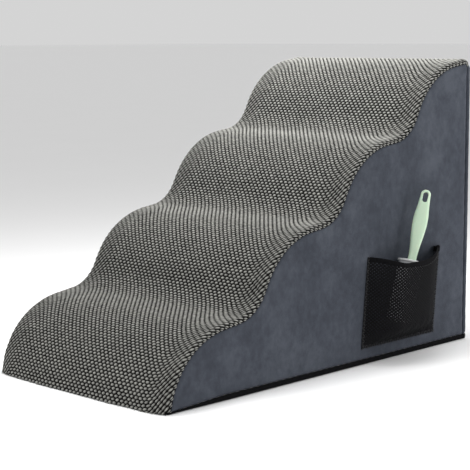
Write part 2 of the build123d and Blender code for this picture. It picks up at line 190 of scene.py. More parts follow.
def slab(outer, inner):
    """Points and quads of a closed sheet between two grids of the same shape."""
    rows, columns = outer.shape[:2]
    shift = rows * columns
    quads = [grid_faces(rows, columns), grid_faces(rows, columns, shift, flip=True)]
    for index in (
        np.arange(columns),
        np.arange(rows) * columns + columns - 1,
        (rows * columns - 1) - np.arange(columns),
        (rows - 1 - np.arange(rows)) * columns,
    ):
        quads.append(np.stack([index[1:], index[:-1], index[:-1] + shift, index[1:] + shift], 1))
    return np.concatenate([outer.reshape(-1, 3), inner.reshape(-1, 3)]), np.concatenate(quads)


def sleeve(outer, inner):
    """Points and quads of a closed tube wall between two grids that each run once round."""
    rows, columns = outer.shape[:2]
    shift = rows * columns
    r, c = np.meshgrid(np.arange(rows - 1), np.arange(columns), indexing="ij")
    a, b = (r * columns + c).ravel(), (r * columns + (c + 1) % columns).ravel()
    wall_quads = np.stack([a, b, b + columns, a + columns], 1)
    quads = [wall_quads, wall_quads[:, ::-1] + shift]
    c = np.arange(columns)
    after = (c + 1) % columns
    last = (rows - 1) * columns
    quads.append(np.stack([after, c, c + shift, after + shift], 1))
    quads.append(np.stack([last + c, last + after, last + after + shift, last + c + shift], 1))
    return np.concatenate([outer.reshape(-1, 3), inner.reshape(-1, 3)]), np.concatenate(quads)


def ring_solid(name, rings, material=None, reverse=False, triangulate=True):
    """A closed solid through rings of points, with a flat cap at each end."""
    rows, sides = rings.shape[:2]
    shape = bmesh.new()
    corners = [shape.verts.new(p) for p in rings.reshape(-1, 3)]
    faces = []
    for near in range(0, (rows - 1) * sides, sides):
        for k in range(sides):
            after = (k + 1) % sides
            around = (near + after, near + sides + after, near + sides + k)
            faces.append((near + k, *(around[::-1] if reverse else around)))
    caps = [tuple(range(sides)), tuple(range((rows - 1) * sides, rows * sides))]
    caps[reverse] = caps[reverse][::-1]
    for face in faces + caps:
        shape.faces.new([corners[k] for k in face])
    bmesh.ops.recalc_face_normals(shape, faces=shape.faces)
    if triangulate:
        bmesh.ops.triangulate(shape, faces=[f for f in shape.faces if len(f.verts) > 4])
    mesh = bpy.data.meshes.new(name)
    shape.to_mesh(mesh)
    shape.free()
    return linked(name, mesh, material)


def applied(piece):
    """Bakes a piece's modifiers into its mesh."""
    graph = bpy.context.evaluated_depsgraph_get()
    mesh = bpy.data.meshes.new_from_object(piece.evaluated_get(graph))
    piece.modifiers.clear()
    piece.data = mesh
    smooth_all(mesh)


def smooth_all(mesh):
    """Smooth shading on every face."""
    mesh.polygons.foreach_set("use_smooth", np.ones(len(mesh.polygons), bool))


def face_outwards(piece):
    """Turns every face of a closed mesh outwards."""
    shape = bmesh.new()
    shape.from_mesh(piece.data)
    bmesh.ops.recalc_face_normals(shape, faces=shape.faces)
    shape.to_mesh(piece.data)
    shape.free()


def ball(create, **settings):
    """Points and triangles of a unit ball."""
    shape = bmesh.new()
    create(shape, radius=1.0, **settings)
    points = np.array([v.co for v in shape.verts])
    bmesh.ops.triangulate(shape, faces=shape.faces[:])
    faces = np.array([[v.index for v in f.verts] for f in shape.faces])
    shape.free()
    return points, faces


def repeated(faces, count, points):
    """The faces of one shape, repeated for count copies with this many points each."""
    shift = np.arange(count)[:, None, None] * points
    return (faces[None] + shift).reshape(-1, 3)


def travelled(path):
    """The distance along a path at each of its points."""
    return np.concatenate([[0], np.cumsum(np.linalg.norm(np.diff(path, axis=0), axis=1))])


def on_path(distance, travel, values):
    """A path's two values per point, read at distances along it."""
    return np.stack([np.interp(distance, travel, values[:, k]) for k in (0, 1)], -1)


def crowded(count):
    """Shares from 0 to 1 that crowd towards both ends."""
    return 0.5 - 0.5 * np.cos(math.pi * np.linspace(0, 1, count))


def paint(piece, name, values):
    """A number for each point, for the material to read."""
    attribute = piece.data.attributes.new(name, "FLOAT", "POINT")
    attribute.data.foreach_set("value", np.asarray(values, np.float32).ravel())


def smoothstep(value):
    """0 to 1 with a soft start and end."""
    value = np.clip(value, 0.0, 1.0)
    return value * value * (3 - 2 * value)


# ------------------------------------------------------------------ the side outline
def tier_points():
    """Corners of the side outline from the front of the base to the foot of the back."""
    valley = (RISER_SLOPE * TIER_RUN - TIER_RISE) / (RISER_SLOPE - TREAD_SLOPE)
    points = [(-HALF_L, 0.0), (FRONT_FOOT[0] - HALF_L, FRONT_FOOT[1])]
    radii = [FOOT_RADIUS]
    for tier in range(TIERS):
        nose = (FIRST_NOSE[0] - HALF_L + tier * TIER_RUN, FIRST_NOSE[1] + tier * TIER_RISE)
        early = 0.0 if tier else FIRST_NOSE_EARLY
        points.append((nose[0] - early, nose[1] - early * TREAD_SLOPE))
        radii.append(NOSE_RADIUS)
        if tier < TIERS - 1:
            points.append((nose[0] + valley, nose[1] + valley * TREAD_SLOPE))
            radii.append(VALLEY_RADIUS)
    points += [(HALF_L, HEIGHT), (HALF_L, 0.0)]
    return points, radii + [BACK_TOP_RADIUS]


def rounded_path(points, radii, step=1 * MM):
    """Points and outward normals along straight runs joined by tangent arcs."""
    places, normals = [], []

    def run(start, end):
        count = max(2, int(np.linalg.norm(end - start) / step))
        along = (end - start) / np.linalg.norm(end - start)
        for share in np.linspace(0, 1, count, endpoint=False):
            places.append(start + (end - start) * share)
            normals.append((-along[1], along[0]))

    here = np.array(points[0], float)
    for before, corner, after, radius in zip(points, points[1:], points[2:], radii):
        corner = np.array(corner, float)
        back = np.array(before, float) - corner
        back /= np.linalg.norm(back)
        ahead = np.array(after, float) - corner
        ahead /= np.linalg.norm(ahead)
        half = math.acos(float(back @ ahead)) / 2
        reach = radius / math.tan(half)
        run(here, corner + back * reach)
        bisector = (back + ahead) / np.linalg.norm(back + ahead)
        centre = corner + bisector * radius / math.sin(half)
        first, last = corner + back * reach - centre, corner + ahead * reach - centre
        start = math.atan2(first[1], first[0])
        turn = (math.atan2(last[1], last[0]) - start + math.pi) % (2 * math.pi) - math.pi
        side = -1.0 if turn > 0 else 1.0
        count = max(6, int(abs(turn) * radius / step))
        for share in np.linspace(0, 1, count, endpoint=False):
            spoke = np.array([math.cos(start + turn * share), math.sin(start + turn * share)])
            places.append(centre + radius * spoke)
            normals.append(spoke * side)
        here = corner + ahead * reach
    run(here, np.array(points[-1], float))
    places.append(np.array(points[-1], float))
    normals.append(normals[-1])
    return np.array(places), np.array(normals)


OUTLINE, OUTLINE_NORMAL = rounded_path(*tier_points())
OUTLINE_S = travelled(OUTLINE)
BACK_SEAM_Z = HEIGHT - BACK_TOP_RADIUS
BELOW_BACK_SEAM = (OUTLINE[:, 0] > HALF_L - 0.1 * MM) & (OUTLINE[:, 1] < BACK_SEAM_Z)
TOP_END = float(OUTLINE_S[np.argmax(BELOW_BACK_SEAM)])


def outline_at(s):
    """(y, z) and outward normal at distance s along the outline."""
    place = [np.interp(s, OUTLINE_S, OUTLINE[:, k]) for k in (0, 1)]
    normal = [np.interp(s, OUTLINE_S, OUTLINE_NORMAL[:, k]) for k in (0, 1)]
    length = np.hypot(*normal)
    return place, [n / length for n in normal]


def settle(points):
    """How the soft ramp sits: the front of the base bows out and its corners draw in."""
    points = np.array(points, float)
    x, y, z = points[..., 0], points[..., 1], points[..., 2]
    front = smoothstep((-0.22 - y) / 0.149)
    low = np.exp(-np.clip(z, 0, None) / 0.055)
    across = np.clip(np.abs(x) / HALF_W, 0, 1)
    bow = -4.5 * MM * (1 - across**2)
    corner = 9 * MM * np.clip((np.abs(x) - 0.160) / 0.040, 0, 1.05) ** 2
    ripple = 0.5 * MM * np.sin(x * 41 + 1.3) + 0.4 * MM * np.sin(x * 87 + y * 23)
    points[..., 1] = y + front * low * (bow + corner + ripple)
    points[..., 0] = x - np.sign(x) * front * low * 2.5 * MM * across**4
    return points


def cover_frame(a, s):
    """Where the cover's skin is: a is measured across it, s along the outline."""
    (y, z), (ny, nz) = outline_at(s)
    flat = HALF_W - EDGE
    angle = np.clip((np.abs(a) - flat) / EDGE, 0, math.pi / 2)
    depth = EDGE * (1 - np.cos(angle))
    x = np.sign(a) * (np.minimum(np.abs(a), flat) + EDGE * np.sin(angle))
    place = np.stack([x, y - ny * depth, z - nz * depth], -1)
    normal = np.stack([np.sign(a) * np.sin(angle), ny * np.cos(angle), nz * np.cos(angle)], -1)
    swell = 0.35 * MM * np.sin(a * 31 + s * 9 + 0.5) * np.sin(s * 37 + a * 6)
    return place + normal * swell[..., None], normal


COVER_HALF = HALF_W - EDGE + EDGE * math.pi / 2


# ------------------------------------------------------------------ materials
def shader(name, color=(0.5, 0.5, 0.5), roughness=0.6, **values):
    """A material with a Principled shader, and its node tree for more nodes."""
    material = bpy.data.materials.new(name)
    material.use_nodes = True
    tree = material.node_tree
    principled = tree.nodes["Principled BSDF"]
    principled.inputs["Base Color"].default_value = (*color, 1)
    principled.inputs["Roughness"].default_value = roughness
    for key, value in values.items():
        principled.inputs[key.replace("_", " ")].default_value = value
    return material, tree, principled


def add(tree, kind, settings=None, **inputs):
    """A new node with its settings, and its sockets set or linked by name."""
    node = tree.nodes.new(kind)
    for key, value in (settings or {}).items():
        setattr(node, key, value)
    for key, value in inputs.items():
        socket = node.inputs[int(key[1:])] if key[0] == "_" else node.inputs[key.replace("_", " ")]
        if isinstance(value, bpy.types.NodeSocket):
            tree.links.new(value, socket)
        else:
            socket.default_value = value
    return node


def coordinates(tree):
    """Object coordinates, which are metres in the ramp's own frame."""
    return add(tree, "ShaderNodeTexCoord").outputs["Object"]


def noise(tree, vector, scale, detail=4.0, roughness=0.6):
    """Noise from 0 to 1."""
    node = add(
        tree, "ShaderNodeTexNoise", Vector=vector, Scale=scale, Detail=detail, Roughness=roughness
    )
    return node.outputs["Fac"]


def ramp(tree, value, stops):
    """A colour ramp over a value."""
    node = add(tree, "ShaderNodeValToRGB", Fac=value)
    while len(node.color_ramp.elements) < len(stops):
        node.color_ramp.elements.new(0.5)
    for element, (position, color) in zip(node.color_ramp.elements, stops):
        element.position = position
        element.color = (*color, 1)
    return node.outputs["Color"]


def math_node(tree, operation, first, second=0.0):
    """One arithmetic step."""
    return add(tree, "ShaderNodeMath", {"operation": operation}, _0=first, _1=second).outputs[0]


def bump(tree, principled, height, strength, distance):
    """Fine relief on the shader."""
    node = add(tree, "ShaderNodeBump", Height=height, Strength=strength, Distance=distance)
    tree.links.new(node.outputs["Normal"], principled.inputs["Normal"])


def tint(tree, principled, value, stops):
    """Links a colour ramp over a value to the shader's base."""
    tree.links.new(ramp(tree, value, stops), principled.inputs["Base Color"])


def weighted(tree, first, share, second, rest):
    """The sum of two values, each times its share."""
    parts = [math_node(tree, "MULTIPLY", *pair) for pair in ((first, share), (second, rest))]
    return math_node(tree, "ADD", *parts)


def yarn_material():
    """Light grey floats of brushed yarn, with painted shade that turns each float near-black where it dives
    into the cloth.
    """
    material, tree, principled = shader(
        "float_yarn", roughness=0.9, Sheen_Weight=0.04, Sheen_Roughness=0.5, Specular_IOR_Level=0.12
    )
    place = coordinates(tree)
    height_shade = add(tree, "ShaderNodeAttribute", {"attribute_name": "height_shade"}).outputs["Fac"]
    tone = add(tree, "ShaderNodeAttribute", {"attribute_name": "tone"}).outputs["Fac"]
    fibre = noise(tree, place, 1900.0, 3.0, 0.7)
    value = math_node(tree, "MULTIPLY_ADD", fibre, 0.22)
    value.node.inputs[2].default_value = -0.11
    # Each point's height in its float brightens it: painted shade, near-black at the float's foot and grey
    # yarn at its top.
    value = math_node(tree, "ADD", value, height_shade)
    body = ramp(
        tree,
        value,
        [
            (0.30, (0.004, 0.004, 0.004)),
            (0.62, (0.045, 0.045, 0.042)),
            (0.86, (0.215, 0.214, 0.200)),
            (1.00, (0.360, 0.358, 0.338)),
        ],
    )
    mixed = add(
        tree,
        "ShaderNodeMix",
        {"data_type": "RGBA", "blend_type": "MULTIPLY"},
        _0=1.0,
        _6=body,
        _7=ramp(tree, tone, [(0.0, (0.80, 0.80, 0.80)), (1.0, (1.12, 1.12, 1.10))]),
    )
    tree.links.new(mixed.outputs[2], principled.inputs["Base Color"])
    bump(tree, principled, fibre, 0.5, 0.25 * MM)
    return material


def ground_material():
    """The ground cloth between the floats: dark cloth, made near-black as painted shade in the gaps."""
    material, tree, principled = shader("ground_cloth", roughness=0.95, Specular_IOR_Level=0.03)
    place = coordinates(tree)
    thread = noise(tree, place, 900.0, 4.0, 0.7)
    # Near-black: the cloth's own dark colour, deepened as painted shade between the floats.
    tint(tree, principled, thread, [(0.3, (0.004, 0.004, 0.004)), (0.8, (0.014, 0.014, 0.013))])
    bump(tree, principled, thread, 0.6, 0.4 * MM)
    return material


def plush_material():
    """Short blue-grey pile, brushed unevenly, with cloudy light and dark patches."""
    material, tree, principled = shader(
        "plush_pile",
        roughness=0.85,
        Sheen_Weight=0.22,
        Sheen_Roughness=0.4,
        Specular_IOR_Level=0.15,
    )
    principled.inputs["Sheen Tint"].default_value = (0.62, 0.68, 0.85, 1)
    place = coordinates(tree)
    stretch = add(
        tree, "ShaderNodeMapping", Vector=place, Scale=(1.0, 1.0, 0.85)
    ).outputs["Vector"]
    cloud = noise(tree, stretch, 14.0, 5.0, 0.62)
    patch = noise(tree, stretch, 75.0, 4.0, 0.7)
    pile = noise(tree, place, 1500.0, 3.0, 0.8)
    mixed = math_node(tree, "MULTIPLY_ADD", cloud, 0.55)
    tree.links.new(math_node(tree, "MULTIPLY", patch, 0.30), mixed.node.inputs[2])
    mixed = math_node(tree, "ADD", mixed, math_node(tree, "MULTIPLY", pile, 0.15))
    tint(
        tree,
        principled,
        mixed,
        [
            (0.40, (0.034, 0.039, 0.050)),
            (0.50, (0.047, 0.053, 0.067)),
            (0.60, (0.066, 0.074, 0.090)),
        ],
    )
    rough = weighted(tree, pile, 0.6, patch, 0.4)
    bump(tree, principled, rough, 0.55, 0.5 * MM)
    return material


def black_cloth_material(name, scale=700.0, light=0.03):
    """Black woven cloth with a fine rib."""
    material, tree, principled = shader(name, roughness=0.85, Sheen_Weight=0.0, Specular_IOR_Level=0.05)
    place = coordinates(tree)
    thread = noise(tree, place, scale, 4.0, 0.7)
    tint(
        tree,
        principled,
        thread,
        [
            (0.3, (0.004, 0.004, 0.005)),
            (0.8, (light, light, light * 1.05)),
        ],
    )
    bump(tree, principled, thread, 0.6, 0.3 * MM)
    return material


def grainy_material(name, dark, light, scale, roughness, relief, distance, **values):
    """A surface whose colour and relief both come from one fine grain."""
    material, tree, principled = shader(name, roughness=roughness, **values)
    place = coordinates(tree)
    grain = noise(tree, place, scale, 4.0, 0.65)
    broad = noise(tree, place, scale / 30, 3.0, 0.5)
    mixed = weighted(tree, grain, 0.7, broad, 0.3)
    tint(tree, principled, mixed, [(0.35, dark), (0.65, light)])
    limits = {"To_Min": roughness - 0.05, "To_Max": roughness + 0.07}
    uneven = add(tree, "ShaderNodeMapRange", Value=grain, **limits)
    tree.links.new(uneven.outputs[0], principled.inputs["Roughness"])
    bump(tree, principled, grain, relief, distance)
    return material


def foam_material(name, dark, light, cell):
    """Open-cell foam, pitted by its cut cells, with painted shade darkening each pit."""
    material, tree, principled = shader(name, roughness=0.95, Specular_IOR_Level=0.1)
    place = coordinates(tree)
    cells = add(tree, "ShaderNodeTexVoronoi", Vector=place, Scale=cell).outputs["Distance"]
    # Painted shade: each pit of the cells is tinted darker.
    tint(tree, principled, cells, [(0.0, dark), (0.6, light)])
    bump(tree, principled, cells, 0.7, 0.5 * MM)
    return material


def tape_material():
    """Black zip tape, a herringbone of two crossed ribs."""
    material, tree, principled = shader(
        "tape_weave", roughness=0.8, Sheen_Weight=0.02, Specular_IOR_Level=0.12
    )
    place = coordinates(tree)
    ribs = []
    for slope in (1.0, -1.0):
        tilted = add(tree, "ShaderNodeMapping", Vector=place, Scale=(slope, slope, 1.0))
        wave = add(
            tree,
            "ShaderNodeTexWave",
            {"bands_direction": "DIAGONAL"},
            Vector=tilted.outputs["Vector"],
            Scale=420.0,
        )
        ribs.append(wave.outputs["Fac"])
    weave = math_node(tree, "MULTIPLY", *ribs)
    tint(tree, principled, weave, [(0.0, (0.005, 0.005, 0.006)), (1.0, (0.028, 0.028, 0.031))])
    bump(tree, principled, weave, 0.6, 0.25 * MM)
    return material


def metal_material():
    """Black lacquered metal with fine scratches and duller handling marks."""
    material, tree, principled = shader("black_lacquer", roughness=0.32)
    place = coordinates(tree)
    brushed = add(tree, "ShaderNodeMapping", Vector=place, Scale=(0.08, 1.0, 1.0)).outputs["Vector"]
    scratch = noise(tree, brushed, 2600.0, 4.0, 0.7)
    wear = noise(tree, place, 260.0, 3.0, 0.5)
    tint(tree, principled, wear, [(0.3, (0.022, 0.022, 0.024)), (0.7, (0.045, 0.045, 0.048))])
    rough = add(tree, "ShaderNodeMapRange", Value=wear, To_Min=0.24, To_Max=0.42).outputs[0]
    tree.links.new(rough, principled.inputs["Roughness"])
    bump(tree, principled, scratch, 0.25, 0.05 * MM)
    return material


YARN = yarn_material()
GROUND = ground_material()
PLUSH = plush_material()
BLACK = black_cloth_material("black_cloth")
BASE_CLOTH = black_cloth_material("base_cloth", 900.0, 0.005)
NET = black_cloth_material("net_yarn", 1600.0, 0.016)
HEM_CLOTH = black_cloth_material("hem_cloth", 1100.0, 0.009)
ELASTIC = black_cloth_material("elastic_rib", 1400.0, 0.035)
THREAD = grainy_material(
    "thread", (0.010, 0.010, 0.011), (0.035, 0.035, 0.038), 2500.0, 0.6, 0.5, 0.1 * MM
)
RUBBER = grainy_material(
    "grip_rubber", (0.006, 0.006, 0.006), (0.018, 0.018, 0.018), 800.0, 0.55, 0.3, 0.1 * MM
)
COIL = grainy_material(
    "coil_nylon", (0.006, 0.006, 0.007), (0.020, 0.020, 0.022), 1500.0, 0.36, 0.2, 0.05 * MM
)
TAPE = tape_material()
FOAM = foam_material("firm_foam", (0.44, 0.40, 0.30), (0.74, 0.70, 0.58), 700.0)
SOFT_FOAM = foam_material("soft_foam", (0.50, 0.50, 0.48), (0.80, 0.80, 0.77), 420.0)
LINER_CLOTH = grainy_material(
    "liner_felt", (0.52, 0.52, 0.51), (0.74, 0.74, 0.73), 600.0, 0.9, 0.5, 0.2 * MM
)
MINT = grainy_material(
    "mint_plastic", (0.50, 0.66, 0.49), (0.56, 0.71, 0.54), 1100.0, 0.38, 0.08, 0.05 * MM,
    Coat_Weight=0.12, Subsurface_Weight=0.08,
)
WHITE = grainy_material(
    "white_plastic", (0.74, 0.75, 0.74), (0.82, 0.83, 0.82), 1100.0, 0.35, 0.08, 0.05 * MM
)
CARD = grainy_material(
    "grey_card", (0.36, 0.33, 0.28), (0.52, 0.48, 0.42), 900.0, 0.85, 0.4, 0.1 * MM
)
# Grey rather than white paper: painted shade for the roll inside the net pocket.
STICKY = grainy_material(
    "sticky_paper", (0.50, 0.51, 0.53), (0.60, 0.61, 0.63), 500.0, 0.30, 0.15, 0.05 * MM
)
METAL = metal_material()

# The CAD parts whose own shape is right keep it and take one of these finishes.
KEPT_FINISHES = {
    "roller_reel": WHITE,
    "reel_end_cap": WHITE,
    "roller_spindle": WHITE,
    "spindle_clip": WHITE,
    "paper_core": CARD,
    "zip_slider": METAL,
    "zip_pull": METAL,
    "zip_end_stop": METAL,
    "zip_start_stop": METAL,
}


# ------------------------------------------------------------------ the woven top panel
def cover_sheet():
    """The ground cloth under the floats, from the front of the base over the tiers to the back seam."""
    across = np.linspace(-COVER_HALF, COVER_HALF, 101)
    along = np.linspace(COVER, TOP_END, 420)
    s, a = np.meshgrid(along, across, indexing="ij")
    place, normal = cover_frame(a, s)
    outer = settle(place + normal * GROUND_TOP)
    inner = settle(place - normal * COVER)
    for face in (outer, inner):
        face[..., 2] = np.maximum(face[..., 2], FLOOR_GAP)
    cloth = mesh_object("top_ground_cloth", *slab(outer, inner), GROUND)
    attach(cloth, "ramp")
    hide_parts("top_panel")


def cover_floats():
    """Yarn floats in staggered rows that bend up towards the side edges, in one piece per stretch."""
    template, faces = ball(bmesh.ops.create_icosphere, subdivisions=2)
    rows = int((TOP_END - 2 * COVER) / ROW_PITCH)
    columns = int(2 * COVER_HALF / FLOAT_PITCH)
    margin = (2 * COVER_HALF - (columns - 0.5) * FLOAT_PITCH) / 2
    pieces = []
    for part in range(FLOAT_PIECES):
        first = part * rows // FLOAT_PIECES if part else -EXTRA_ROWS
        last = (part + 1) * rows // FLOAT_PIECES
        if part == FLOAT_PIECES - 1:
            last += EXTRA_ROWS
        row, column = np.meshgrid(np.arange(first, last), np.arange(-1, columns + 1), indexing="ij")
        row, column = row.ravel(), column.ravel()
        a = -COVER_HALF + margin + (column + 0.5 * (row % 2)) * FLOAT_PITCH
        pulled = np.clip((np.abs(a) - PULL_FROM) / (COVER_HALF - PULL_FROM), 0, 1)
        rise = np.where(a < 0, PULL_LEFT, 1.0) * PULL_RISE
        s = 1.4 * COVER + row * ROW_PITCH + rise * pulled**2
        seam = COVER_HALF - SEAM_INSET
        fits = np.abs(a) < seam + 0.4 * FLOAT_PITCH
        a = np.clip(a + rng.normal(0, 0.16 * MM, len(a)), -seam, seam)
        s = s + rng.normal(0, 0.12 * MM, len(s))
        kept = fits & (s > FIRST_FLOAT) & (s < TOP_END - 0.6 * COVER)
        a, s, pulled, rise = a[kept], s[kept], pulled[kept], rise[kept]
        place, normal = cover_frame(a, s)
        ahead = cover_frame(a, s + 0.5 * MM)[0]
        beside = cover_frame(a + 0.5 * MM, s)[0]
        place, normal_tip = settle(place), settle(place + normal * 0.5 * MM)
        along = settle(ahead) - place
        across = settle(beside) - place
        normal = normal_tip - place
        for axis in (along, across, normal):
            axis /= np.linalg.norm(axis, axis=1)[:, None]
        row_slope = 2 * rise * pulled / (COVER_HALF - PULL_FROM) * np.sign(a)
        # Where the rows are sheared, a float lies along the line to its nearest slanting neighbour.
        slanting = np.arctan2(ROW_PITCH + row_slope * FLOAT_PITCH / 2, FLOAT_PITCH / 2)
        turned_share = smoothstep(1.5 * pulled)
        tilt = FLOAT_TILT + rng.normal(0.0, 0.08, len(a)) + (slanting - FLOAT_TILT) * turned_share
        turned = across * np.cos(tilt)[:, None] + along * np.sin(tilt)[:, None]
        crossed = np.cross(normal, turned)
        size = rng.normal(1.0, 0.04, (len(a), 3))
        stretch = 1 + PULL_STRETCH * turned_share
        sewn = smoothstep((np.abs(a) - COVER_HALF + FLOAT_PITCH) / FLOAT_PITCH)
        size *= 1 - SEAM_SHRINK * sewn[:, None]
        wide = FLOAT_HALF[0] * size[:, 0] * stretch
        tall = FLOAT_HALF[1] * size[:, 1] / stretch
        deep = FLOAT_HALF[2] * size[:, 2]
        centre = place + normal * (FLOAT_CENTRE - SEAM_SINK * sewn)[:, None]
        points = (
            centre[:, None]
            + template[None, :, 0:1] * (turned * wide[:, None])[:, None]
            + template[None, :, 1:2] * (crossed * tall[:, None])[:, None]
            + template[None, :, 2:3] * (normal * deep[:, None])[:, None]
        )
        points[:, :, 2] = np.maximum(points[:, :, 2], FLOOR_GAP)
        copies = repeated(faces, len(a), len(template))
        piece = mesh_object(f"top_floats_{part + 1}", points, copies, YARN)
        # Each point's height in its float, read by the yarn as painted shade towards the float's foot.
        paint(piece, "height_shade", np.tile(template[:, 2] * 0.5 + 0.5, len(a)))
        tone = np.clip(rng.normal(0.5, 0.22, len(a)) - 0.25 * pulled, 0, 1)
        paint(piece, "tone", np.repeat(tone, len(template)))
        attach(piece, "ramp")
        pieces.append(piece)
    return pieces


# ------------------------------------------------------------------ plush panels
def rim_height(y):
    """How high the base's rim stands at y, and its share of the full height."""
    taper = np.clip((y + HALF_L - COVER) / (RIM_TAPER_Y + HALF_L - COVER), 0, 1)
    return COVER + (RIM - COVER) * taper, taper


def side_sheet(side, x, y, z, thick):
    """Points and quads of a sheet that stands along one side of the ramp, its outer face at x."""
    grids = [settle(np.stack([side * at, y, z], -1)) for at in (x, x - thick)]
    if side < 0:
        grids = [grid[:, ::-1] for grid in grids]
    return slab(*grids)


def side_panel(name, node, side):
    """A plush side panel, tucked in along its seams."""
    columns, rows = 260, 90
    s = np.linspace(0, TOP_END, 1500)
    (y, z), (ny, nz) = outline_at(s)
    edge_y, edge_z = y - ny * EDGE, z - nz * EDGE
    keep = np.maximum.accumulate(edge_y) == edge_y
    y_grid = np.linspace(edge_y[0] + 0.2 * MM, HALF_L - EDGE, columns)
    top = np.interp(y_grid, edge_y[keep], edge_z[keep])
    bottom = rim_height(y_grid)[0]
    if side < 0:
        bottom = np.where(y_grid > ZIP_FRONT, ZIP_TOP, bottom)
    top = np.maximum(top, bottom + 0.5 * MM)
    share = crowded(rows)
    zz = bottom[None] + (top - bottom)[None] * share[:, None]
    yy = np.repeat(y_grid[None], rows, 0)
    slope = np.gradient(top, y_grid)
    to_top = (top[None] - zz) / np.sqrt(1 + slope[None] ** 2)
    to_back = HALF_L - EDGE - yy
    to_low = zz - bottom[None]
    near = np.minimum(np.minimum(to_top, to_back), to_low)
    tuck = 2.6 * MM * np.exp(-((np.clip(near, 0, None) / (2.2 * MM)) ** 1.3))
    pucker = 0.35 * MM * np.sin(yy * 430 + zz * 260) * np.exp(-near / (7 * MM))
    wave = 0.7 * MM * np.sin(yy * 17 + zz * 11 + side) * np.sin(zz * 23 - yy * 7 + 0.6)
    x = HALF_W - 0.3 * MM - tuck + pucker + wave * smoothstep(near / (25 * MM))
    panel = mesh_object(name, *side_sheet(side, x, yy, zz, PLUSH_THICK), PLUSH)
    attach(panel, "ramp")
    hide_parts(node)


# ------------------------------------------------------------------ studio
def studio():
    """A pale floor, soft lights and the camera."""
    floor_material, tree, principled = shader(
        "studio_floor", (0.94, 0.94, 0.94), 0.95, Specular_IOR_Level=0.05
    )
    grain = noise(tree, coordinates(tree), 3.0)
    tint(tree, principled, grain, [(0.0, (0.93, 0.93, 0.93)), (1.0, (0.95, 0.95, 0.95))])
    corners = [(x * FLOOR_REACH, y * FLOOR_REACH, 0) for x, y in ((-1, -1), (1, -1), (1, 1), (-1, 1))]
    floor = mesh_object("studio_floor", corners, [[0, 1, 2, 3]], floor_material, smooth=False)
    world = bpy.data.worlds.new("studio_air")
    world.use_nodes = True
    air = world.node_tree.nodes["Background"]
    air.inputs["Color"].default_value = (1, 1, 1, 1)
    air.inputs["Strength"].default_value = AIR_LIGHT
    bpy.context.scene.world = world
    for name, place, size, power in LAMPS:
        light = bpy.data.lights.new(name, "AREA")
        light.size = size
        light.energy = power
        lamp = bpy.data.objects.new(name, light)
        lamp.location = place
        lamp.rotation_mode = "QUATERNION"
        lamp.rotation_quaternion = (Vector(LAMPS_AIM) - Vector(place)).to_track_quat("-Z", "Y")
        lamp.visible_camera = False
        bpy.context.scene.collection.objects.link(lamp)
    camera = bpy.data.objects.new("camera", bpy.data.cameras.new("camera"))
    camera.data.lens, camera.data.sensor_width = LENS, SENSOR
    off_x, off_y, off_z = (share * HEIGHT for share in CAMERA_OFF)
    camera.location = (HALF_W + off_x, HALF_L + off_y, off_z)
    yaw, pitch, roll = (math.radians(turn) for turn in CAMERA_TURN)
    turn = Matrix.Rotation(yaw, 4, "Z") @ Matrix.Rotation(math.pi / 2 + pitch, 4, "X")
    camera.rotation_mode = "QUATERNION"
    camera.rotation_quaternion = (turn @ Matrix.Rotation(roll, 4, "Z")).to_quaternion()
    bpy.context.scene.collection.objects.link(camera)
    bpy.context.scene.camera = camera
    bpy.context.scene.view_settings.view_transform = "Standard"


# ------------------------------------------------------------------ back panel, base and zip
def corner_arc(centre, radius, puff, angles, outward):
    """Places and outward normals round a corner that stands out by puff in its middle."""
    for angle in angles:
        out = outward(angle)
        bulge = radius + puff * abs(math.sin(2 * angle))
        yield (centre[0] + out[0] * bulge, centre[1] + out[1] * bulge), out


def plan_path(depth, start_y, end_x, step=2 * MM, puff=0.0):
    """Points and outward normals round the back: left side, corner, back, corner, right side."""
    radius = EDGE - depth
    centre_x, centre_y = HALF_W - EDGE, HALF_L - EDGE
    left = -HALF_W + depth
    places, normals = [], []
    for y in np.arange(start_y, centre_y, step):
        places.append((left, y))
        normals.append((-1, 0))
    quarter = np.linspace(0, math.pi / 2, 9)
    for place, out in corner_arc(
        (-centre_x, centre_y), radius, puff, quarter, lambda t: (-math.cos(t), math.sin(t))
    ):
        places.append(place)
        normals.append(out)
    back = HALF_L - depth
    for x in np.linspace(-centre_x, min(end_x, centre_x), int(2 * centre_x / step))[1:]:
        places.append((x, back))
        normals.append((0, 1))
    if end_x > centre_x:
        for place, out in corner_arc(
            (centre_x, centre_y), radius, puff, quarter[1:], lambda t: (math.sin(t), math.cos(t))
        ):
            places.append(place)
            normals.append(out)
    return np.array(places), np.array(normals)


def wall(path, normals, low, high, rows):
    """A grid of points that stands on a plan path between two heights."""
    share = crowded(rows)
    z = low[None] + (high - low)[None] * share[:, None]
    x = np.repeat(path[None, :, 0], rows, 0)
    y = np.repeat(path[None, :, 1], rows, 0)
    outward = np.zeros((rows, len(path), 3))
    outward[..., :2] = normals[None]
    return np.stack([x, y, z], -1), outward


